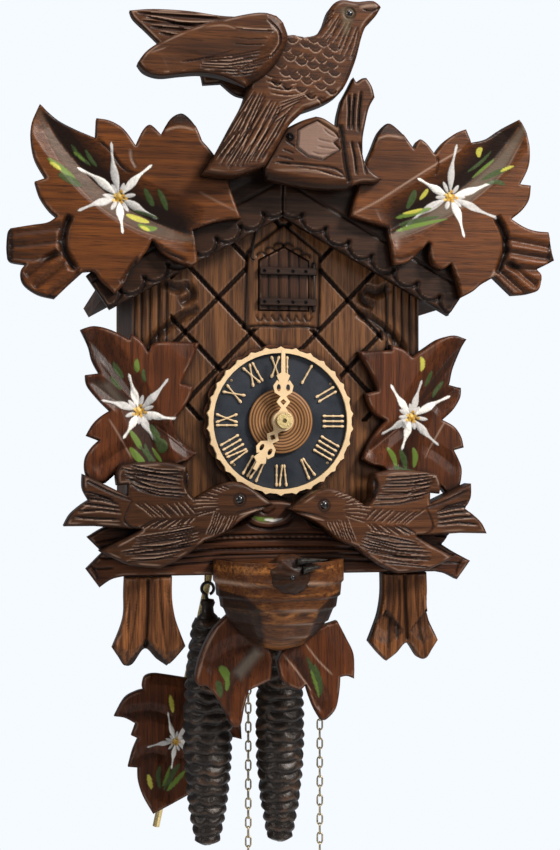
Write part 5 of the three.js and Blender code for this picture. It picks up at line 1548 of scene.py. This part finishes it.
def numeral_strokes(text):
    pitch = {"I": 2.75, "V": 4.2, "X": 4.6}
    width = sum(pitch[c] for c in text)
    u = -width / 2
    lines = []
    for c in text:
        middle = u + pitch[c] / 2
        u += pitch[c]
        if c == "I":
            lines.append(((middle, NUMERAL_IN), (middle, NUMERAL_OUT)))
        elif c == "V":
            lines.append(((middle - 0.55, NUMERAL_IN), (middle - 1.9, NUMERAL_OUT)))
            lines.append(((middle + 0.3, NUMERAL_IN), (middle + 1.9, NUMERAL_OUT)))
        else:
            lines.append(((middle - 2.2, NUMERAL_IN), (middle + 2.2, NUMERAL_OUT)))
            lines.append(((middle + 2.2, NUMERAL_IN), (middle - 2.2, NUMERAL_OUT)))
    return lines


def ridge(line, base, height, turn):
    """A turned-looking bar on the dial: base is its depth, height how far it stands out."""
    (u0, v0), (u1, v1) = line
    c, s = math.cos(turn), math.sin(turn)
    length = math.hypot(u1 - u0, v1 - v0)
    du, dv = (u1 - u0) / length, (v1 - v0) / length
    verts, faces = [], []
    section = pts("-1,0 -0.9,0.6 -0.4,1 0.4,1 0.9,0.6 1,0")
    steps = np.linspace(0, 1, 25)
    for t in steps:
        half = np.interp(t, *BOBBIN) * 0.8
        tall = height * (0.75 + 0.25 * min(1, half))
        for side, up in section:
            u = u0 + (u1 - u0) * t + dv * side * half
            v = v0 + (v1 - v0) * t - du * side * half
            verts.append(at(u * c + v * s, base - tall * up, -u * s + v * c))
    n = len(section)
    for i in range(len(steps) - 1):
        for k in range(n - 1):
            faces.append((i * n + k, i * n + k + 1, (i + 1) * n + k + 1, (i + 1) * n + k))
        faces.append((i * n, (i + 1) * n, (i + 1) * n + n - 1, i * n + n - 1))
    faces.append(tuple(range(n)))
    faces.append(tuple((len(steps) - 1) * n + k for k in reversed(range(n))))
    return verts, faces


def dial_marks():
    parts = []
    for hour, text in enumerate(NUMERALS):
        for line in numeral_strokes(text):
            parts.append(ridge(line, -109.2, 1.5, hour * math.pi / 6))
    finish(gather("dial_numerals", parts), IVORY, "case")
    pins = []
    for angle in (54, 131, 227, 309):
        x = 34 * math.sin(math.radians(angle))
        z = 34 * math.cos(math.radians(angle))
        pins.append(stud(x, -109.3, z, 0.75, 0.7))
    finish(gather("dial_pins", pins), IVORY, "case")


def stud(x, y, z, radius, tall, sides=14):
    """A nail's round head standing out of a surface at depth y."""
    verts, faces = [], []
    rings = pts("1,0.25 1,-0.25 0.86,-0.68 0.5,-0.95")
    for share, out in rings:
        for k in range(sides):
            a = 2 * math.pi * k / sides
            verts.append(at(
                x + radius * share * math.cos(a), y + tall * out, z + radius * share * math.sin(a),
            ))
    for i in range(len(rings) - 1):
        for k in range(sides):
            m = (k + 1) % sides
            faces.append((i * sides + k, i * sides + m, (i + 1) * sides + m, (i + 1) * sides + k))
    faces.append(tuple(range(sides)))
    faces.append(tuple((len(rings) - 1) * sides + k for k in reversed(range(sides))))
    return verts, faces


# ---- nest and chick --------------------------------------------------------------------------------
# Height and radius of the bowl from the rim down.
NEST_PROFILE = pts("""
    -72.5,34.7 -79,34.9 -83.4,34.9 -84.6,33.8 -91,33.2 -92,31.8 -97,31.0 -98.2,29.4
    -104.5,26.8 -105.5,25.2 -112,20.6 -113,18.8 -117,14.2 -118,12.0 -121.2,1.0
""")

NEST_X, NEST_Y, NEST_BACK = -1.7, -113, -112.35


def nest():
    heights = np.linspace(-72.5, -121.2, 100)
    table = np.array(NEST_PROFILE)[::-1]
    columns = 150
    verts, faces, tones = [], [], []
    for z in heights:
        base = np.interp(z, table[:, 0], table[:, 1])
        for k in range(columns + 1):
            a = math.pi + math.pi * k / columns
            flat = 1 - 0.05 * max(0, math.cos(a * 5 + 0.4)) * (1 if z < -84 else 0.4)
            r = base * flat
            x = NEST_X + r * math.cos(a)
            y = NEST_Y + r * math.sin(a)
            verts.append(at(x, min(y, NEST_BACK), z))
            # painted shade on the bowl's flanks, which turn away from the light
            shaded_flank = np.clip(
                (abs(x + 0.5) - np.interp(z, [-121, -97, -90, -86], [9, 14, 22, 40])) / 2.2, 0, 1,
            )
            # light bands round the bowl: painted highlights
            line = 0.0
            for mark, wide in ((-83.2, 1.3), (-97.4, 0.8), (-104.8, 0.5), (-112.3, 0.7)):
                line = max(line, math.exp(-(((z - mark) / wide) ** 2)))
            run = 0.5 + 0.5 * math.sin(x * 0.16 + z * 0.9)
            tones.append(0.92 * shaded_flank - 0.75 * line * run * (1 - 0.8 * shaded_flank))
    width = columns + 1
    for j in range(len(heights) - 1):
        for k in range(columns):
            faces.append((
                j * width + k, (j + 1) * width + k, (j + 1) * width + k + 1, j * width + k + 1,
            ))
    rim = [verts[k] for k in range(width)]
    start = len(verts)
    for share, z in ((0.82, -73.2), (0.6, -80)):
        for p in rim:
            across, out = p[0] / MM - NEST_X, p[1] / MM - NEST_Y
            verts.append(at(NEST_X + across * share, NEST_Y + out * share, z))
    verts.append(at(NEST_X, NEST_Y, -81))
    for k in range(columns):
        faces.append((k, k + 1, start + k + 1, start + k))
        faces.append((start + k, start + k + 1, start + width + k + 1, start + width + k))
        faces.append((start + width + k, start + width + k + 1, len(verts) - 1))
    levels = range(len(heights))
    back = [j * width for j in levels] + [j * width + columns for j in reversed(levels)]
    faces.append(tuple(back))
    bowl = mesh_object("nest_bowl", verts, faces)
    # painted shade inside the rim
    tones += [0.6] * (len(verts) - len(tones))
    Carving.store(bowl.data, "tone", np.array(tones))
    Carving.bare(bowl.data)
    finish(bowl, PALE, "case", "nest")


def chick():
    """The chick's dark head over the nest's rim, with its open beak to the right."""
    verts, faces, tones = [], [], []
    middle, radii = (-2, -141, -79), (12.3, 9.4, 10.8)
    rows, columns = 36, 56
    for j in range(rows + 1):
        polar = math.pi * j / rows
        for k in range(columns):
            a = 2 * math.pi * k / columns
            n = Vector((math.sin(polar) * math.cos(a), math.sin(polar) * math.sin(a), math.cos(polar)))
            combed = 0.35 * math.sin(14 * math.atan2(n.z, n.x - 0.6) + 4 * n.y) * (1 - max(0, n.x)) ** 2
            verts.append(at(*(c + (r + combed) * u for c, r, u in zip(middle, radii, n))))
            # darker overall, with painted highlight on the combed ridges and painted shade in the furrows
            tones.append(0.25 - 0.5 * combed)
    for j in range(rows):
        for k in range(columns):
            m = (k + 1) % columns
            faces.append((
                j * columns + k, (j + 1) * columns + k, (j + 1) * columns + m, j * columns + m,
            ))
    head = mesh_object("chick_head", verts, faces)
    Carving.store(head.data, "tone", np.array(tones))
    Carving.bare(head.data)
    finish(head, BIRD_DARK, "case", "nest_chick")
    beak = []
    for low, tip in (
        ((1, -149.6, -71.5), (17.5, -147, -71.0)), ((4.0, -149.0, -76.2), (14.5, -147, -74.0)),
    ):
        points = [Vector(low) + (Vector(tip) - Vector(low)) * t for t in np.linspace(0, 1, 9)]
        section = []
        for i, p in enumerate(points):
            half = 3.0 * (1 - i / 8) ** 0.8 + 0.15
            for a in np.arange(0, 2 * math.pi, math.pi / 5):
                section.append(at(p.x, p.y + half * 0.9 * math.cos(a), p.z + half * 0.62 * math.sin(a)))
        rings = []
        for i in range(8):
            for k in range(10):
                m = (k + 1) % 10
                rings.append((i * 10 + k, (i + 1) * 10 + k, (i + 1) * 10 + m, i * 10 + m))
        beak.append((section, rings + [tuple(reversed(range(10))), tuple(80 + k for k in range(10))]))
    finish(gather("chick_beak", beak), BIRD_DARK, "case")
    eyeball("chick_eye", -1.5, -149.8, -79.5, 1.3)


# ---- house front and door --------------------------------------------------------------------------
def door_frame(clear):
    left, right, floor, shoulder, peak, middle = -11, 17, 59, 86.5, 94, 3
    return np.array([
        [left + clear, floor + clear], [right - clear, floor + clear], [
            right - clear, shoulder - clear,
        ],
        [middle, peak - clear], [left + clear, shoulder - clear],
    ], float)


def house_loop():
    half, top = 78, 115.7
    return np.array(
        [[-half, -79], [half, -79], [half, top - SLOPE * half], [0, top], [-half, top - SLOPE * half]],
        float,
    )


def house_front(cut):
    around = np.array([[-18, 49.5], [22, 49.5], [23, 90], [3, 106], [-17, 90]], float)
    field = (np.abs(cut.p[:, 0]) < 58) & (cut.p[:, 1] > 0) & ~inside(cut.p, around)
    lattice_lean, lattice_middle, lattice_pitch = 43.5, 3, 17.7
    for i in range(-10, 11, 2):
        for lean in (-1, 1):
            dx = math.tan(math.radians(lattice_lean)) * 130 * lean
            x = lattice_middle + lattice_pitch * i
            gap, _, _ = line_distance(cut.p, [(x - dx, -27), (x + dx, 233)])
            groove = np.where(field, np.clip((1.25 - gap) / 0.6, 0, 1), 0)
            cut.depth += 2.2 * groove
            # stain and painted shade in the lattice grooves
            cut.tone = np.where(groove > 0.02, np.maximum(cut.tone, groove), cut.tone)
            # a painted highlight on the bevel beside each groove
            bevel_highlight = np.where(field, np.clip(1 - np.abs(gap - 1.5) / 0.7, 0, 1), 0)
            cut.tone -= 0.3 * bevel_highlight * (groove < 0.2)
    for side in (-1, 1):
        for x in (60, 64.3, 68.8, 73.2, 77):
            cut.groove([(side * x, -78), (side * x, 74)], width=1.6, depth=1.4, dark=0.95, taper=0)
        for line in (pts("71,36 64,46 54,54 43,60"), pts("62,74 55,70 49,71 47,66 53,62")):
            # deep scroll cuts with stain and painted shade, and a painted highlight along their upper edge
            cut.curve([(side * x, z) for x, z in line], width=7.5, depth=3.0, dark=0.95)
            cut.curve([(side * x, z + 3.8) for x, z in line], width=1.2, depth=-0.2, dark=-0.6)
    cut.groove(pts("-18,49.5 -17,90 3,106 23,90 22,49.5"), width=1.8, depth=1.6, dark=0.95, taper=0)
    cut.curve(pts("-19,50 -8,51.2 2,50.6 12,51.2 23,50"), width=1.8, depth=1.6, dark=0.95, taper=0)
    for i in range(7):
        x = -10 + i * 4.4
        scallop = [(x - 2.1, 57.5), (x - 1.2, 54.6), (x, 53.8), (x + 1.2, 54.6), (x + 2.1, 57.5)]
        cut.curve(scallop, width=1.1, depth=1.0, dark=0.9)
    for x, z in ((-9, 88.5), (-4.5, 91.3), (0.4, 94), (5.6, 94), (10.4, 91.3), (15, 88.5)):
        arch = [(x + 2.6 * math.cos(a), z + 1.9 * math.sin(a)) for a in np.linspace(0, math.pi, 7)]
        cut.groove(arch, width=1.5, depth=1.4, dark=1.0, taper=0)


def door_leaf(cut):
    cut.edge(0.8, dark=0.8)
    for x in (-5.4, 0.1, 5.7, 11.3):
        cut.groove([(x, 58), (x, 95)], width=1.1, depth=1.0, dark=0.95, taper=0)


def cuckoo_door():
    carved(
        "door_panel", "cuckoo_door", door_frame(0.5), (-102.2, -105), DARK_UP, door_leaf, "front_door",
        step=0.6,
    )
    straps, nails = [], []
    for z in (80.3, 63.8):
        straps.append(plank(-10.4, 20.6, z - 1.95, z + 1.95, -104.8, -107.2))
        for x in (-8, -0.5, 7.5, 14.5):
            nails.append(stud(x, -107.1, z, 1.05, 0.5))
    finish(gather("door_straps", straps, smooth=False), DOOR_WOOD, "front_door")
    finish(gather("door_nails", nails), PEG, "front_door")
    profile = pts("-103.2,85 -105.5,85 -106,84.4 -106,60.1 -105.5,59.5 -103.2,59.5")
    wire = [(19.3, y, z) for y, z in profile]
    finish(gather("door_staple", [tube(wire, 0.6, 10)]), BLACK_STEEL, "case")


def plank(x0, x1, z0, z1, back, front, cut=0.35):
    """A board with chamfered front edges."""
    rings = [(back, 0), (front + cut, 0), (front, cut)]
    verts, faces = [], []
    for y, inset in rings:
        left, right, low, high = x0 + inset, x1 - inset, z0 + inset, z1 - inset
        verts += [at(x, y, z) for x, z in ((left, low), (right, low), (right, high), (left, high))]
    for i in range(2):
        for k in range(4):
            m = (k + 1) % 4
            faces.append((i * 4 + k, i * 4 + m, i * 4 + 4 + m, i * 4 + 4 + k))
    faces += [(3, 2, 1, 0), (8, 9, 10, 11)]
    return verts, faces


# ---- put the clock together ------------------------------------------------------------------------
FRAME = (-104.3, -112)  # back and front of the pieces fixed round the house
NEST_LEAVES = (-105, -112)
FASCIA_BOARDS = (-112.3, -118)
SIDE_BIRDS = (-112.3, -126)
CROWN = (-118.3, -126)
RIGHT_BIRD = {"dx": -4.5, "dz": -4.3, "turn": -1.7, "about": (57, -48)}
RIGHT_FOOT = -2.2


def right_place(line):
    return [tuple(p) for p in mirrored([line], **RIGHT_BIRD)[0]]


def carvings():
    here = lambda line: line
    moved = lambda line: [(-x + RIGHT_FOOT, z) for x, z in line]
    right_foot = mirrored(FOOT, dx=RIGHT_FOOT)
    right_bird = mirrored(SIDE_BIRD, **RIGHT_BIRD)
    for name, node, runs, depths, material, work, step, *fine in (
        (
            "crown_left", "crown_leaf_left", CROWN_LEAF_LEFT, CROWN, RED, crown_left, 0.85,
            (-87, 115, 28, 0.5),
        ),
        (
            "crown_right", "crown_leaf_right", CROWN_LEAF_RIGHT, CROWN, RED, crown_right, 0.85,
            (92, 122, 30, 0.5),
        ),
        (
            "side_left", "side_leaf_left", SIDE_LEAF_LEFT, FRAME, RED_UP, side_left, 0.85,
            (-75, 3, 28, 0.5),
        ),
        (
            "side_right", "side_leaf_right", SIDE_LEAF_RIGHT, FRAME, RED_UP, side_right, 0.85,
            (73, 0, 28, 0.5),
        ),
        ("rail", "base_rail", BASE_RAIL, FRAME, RAIL, rail, 0.55),
        ("left_foot", "foot_left", FOOT, FRAME, FOOT_WOOD, lambda cut: foot(cut, here), 0.8),
        ("right_foot", "foot_right", right_foot, FRAME, FOOT_WOOD, lambda cut: foot(cut, moved), 0.8),
        (
            "left_bird", "bird_left", SIDE_BIRD, SIDE_BIRDS, BIRD_DARK,
            lambda cut: side_bird(cut, here), 0.48,
        ),
        (
            "right_bird", "bird_right", right_bird, SIDE_BIRDS, DARK,
            lambda cut: side_bird(cut, right_place), 0.48,
        ),
        ("top_bird", "top_bird_body", TOP_BIRD, (-126.3, -138.6), DARK, top_body, 0.45),
        ("near_wing", "top_bird_wing_near", TOP_WING_NEAR, (-138.2, -147.5), DARK, wing_near, 0.45),
        ("far_wing", "top_bird_wing_far", TOP_WING_FAR, (-120.9, -126.2), DARK, wing_far, 0.5),
        ("branch", "crown_branch", BRANCH, (-126.3, -134), DARK, branch, 0.5),
        ("left_nest_leaf", "nest_leaf_left", NEST_LEAF_LEFT, NEST_LEAVES, RED_UP, nest_leaf_left, 0.75),
        (
            "right_nest_leaf", "nest_leaf_right", NEST_LEAF_RIGHT, NEST_LEAVES, RED_UP, nest_leaf_right,
            0.75,
        ),
    ):
        carved(name, node, outline(runs), depths, material, work, step=step, fine=fine)
    board = pts("0,108 91,57.04 103,74.32 90,85 80,96.5 50,124 0,142")
    for side, word, points in ((here, "left", board[::-1]), (flip, "right", flip(board))):
        loop = outline([[p] for p in points])
        work = lambda cut, side=side: shingles(cut, side)
        carved(f"{word}_fascia", f"fascia_{word}", loop, FASCIA_BOARDS, FASCIA_WITH_SHADOW, work)
    spot = hung([(0, 217)])[0]
    leaf = {"body": "pendulum", "fine": [(*spot, 20, 0.5)]}
    carved(
        "swinging_leaf", "pendulum_leaf", pendulum_outline(), (-22.4, -27.4), RED_UP, pendulum_leaf,
        **leaf,
    )
    openings = [door_frame(0), circle(0, 0, 4.5)]
    carved(
        "house", "case_front", house_loop(), (-98, -104), HOUSE, house_front, step=0.8, holes=openings,
    )


def circle(x, z, r, count=40):
    a = np.linspace(0, 2 * np.pi, count, endpoint=False)
    return np.column_stack([x + r * np.cos(a), z + r * np.sin(a)])


def eyes():
    eyeball("left_bird_eye", -24.5, -124.4, -41, 2.7)
    eyeball("right_bird_eye", 20.3, -124.4, -44.2, 2.7)
    eyeball("top_bird_eye", 31, -137.0, 211, 2.3)


def give(material, *nodes):
    for node in nodes:
        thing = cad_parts[node]
        thing.data.materials.clear()
        thing.data.materials.append(material)


def cad_finishes():
    give(CASE_WOOD, "case_side_left", "case_side_right")
    give(ROOF_WOOD, "roof_left", "roof_right")
    give(
        RAW, "case_bottom", "back_gable", "back_bottom_bar", "back_door", "whistle_left",
        "whistle_right",
    )
    give(TURNED_WOOD, "dial_board")
    give(DIAL, "dial_face")
    give(IVORY, "dial_ring", "hour_hand", "minute_hand")
    give(
        BRASS, "hand_nut", "movement", "time_wheel", "strike_wheel", "centre_arbor", "escape_wheel",
        "pendulum_rod",
    )
    give(CHAIN_BRASS, "chain_left_ring", "chain_right_ring")
    give(BLACK_STEEL, "door_latch")
    give(STEEL, "verge", "pendulum_bracket", "gong", "hammer")
    give(BIRD_WOOD, "cuckoo_bird")


camera()
chains()
studio()
carvings()
cuckoo_door()
peg()
shade_block()
nest()
chick()
eyes()
dial_marks()
pine_cone("left_cone", -32, -1)
pine_cone("right_cone", 9, 1)
cad_finishes()
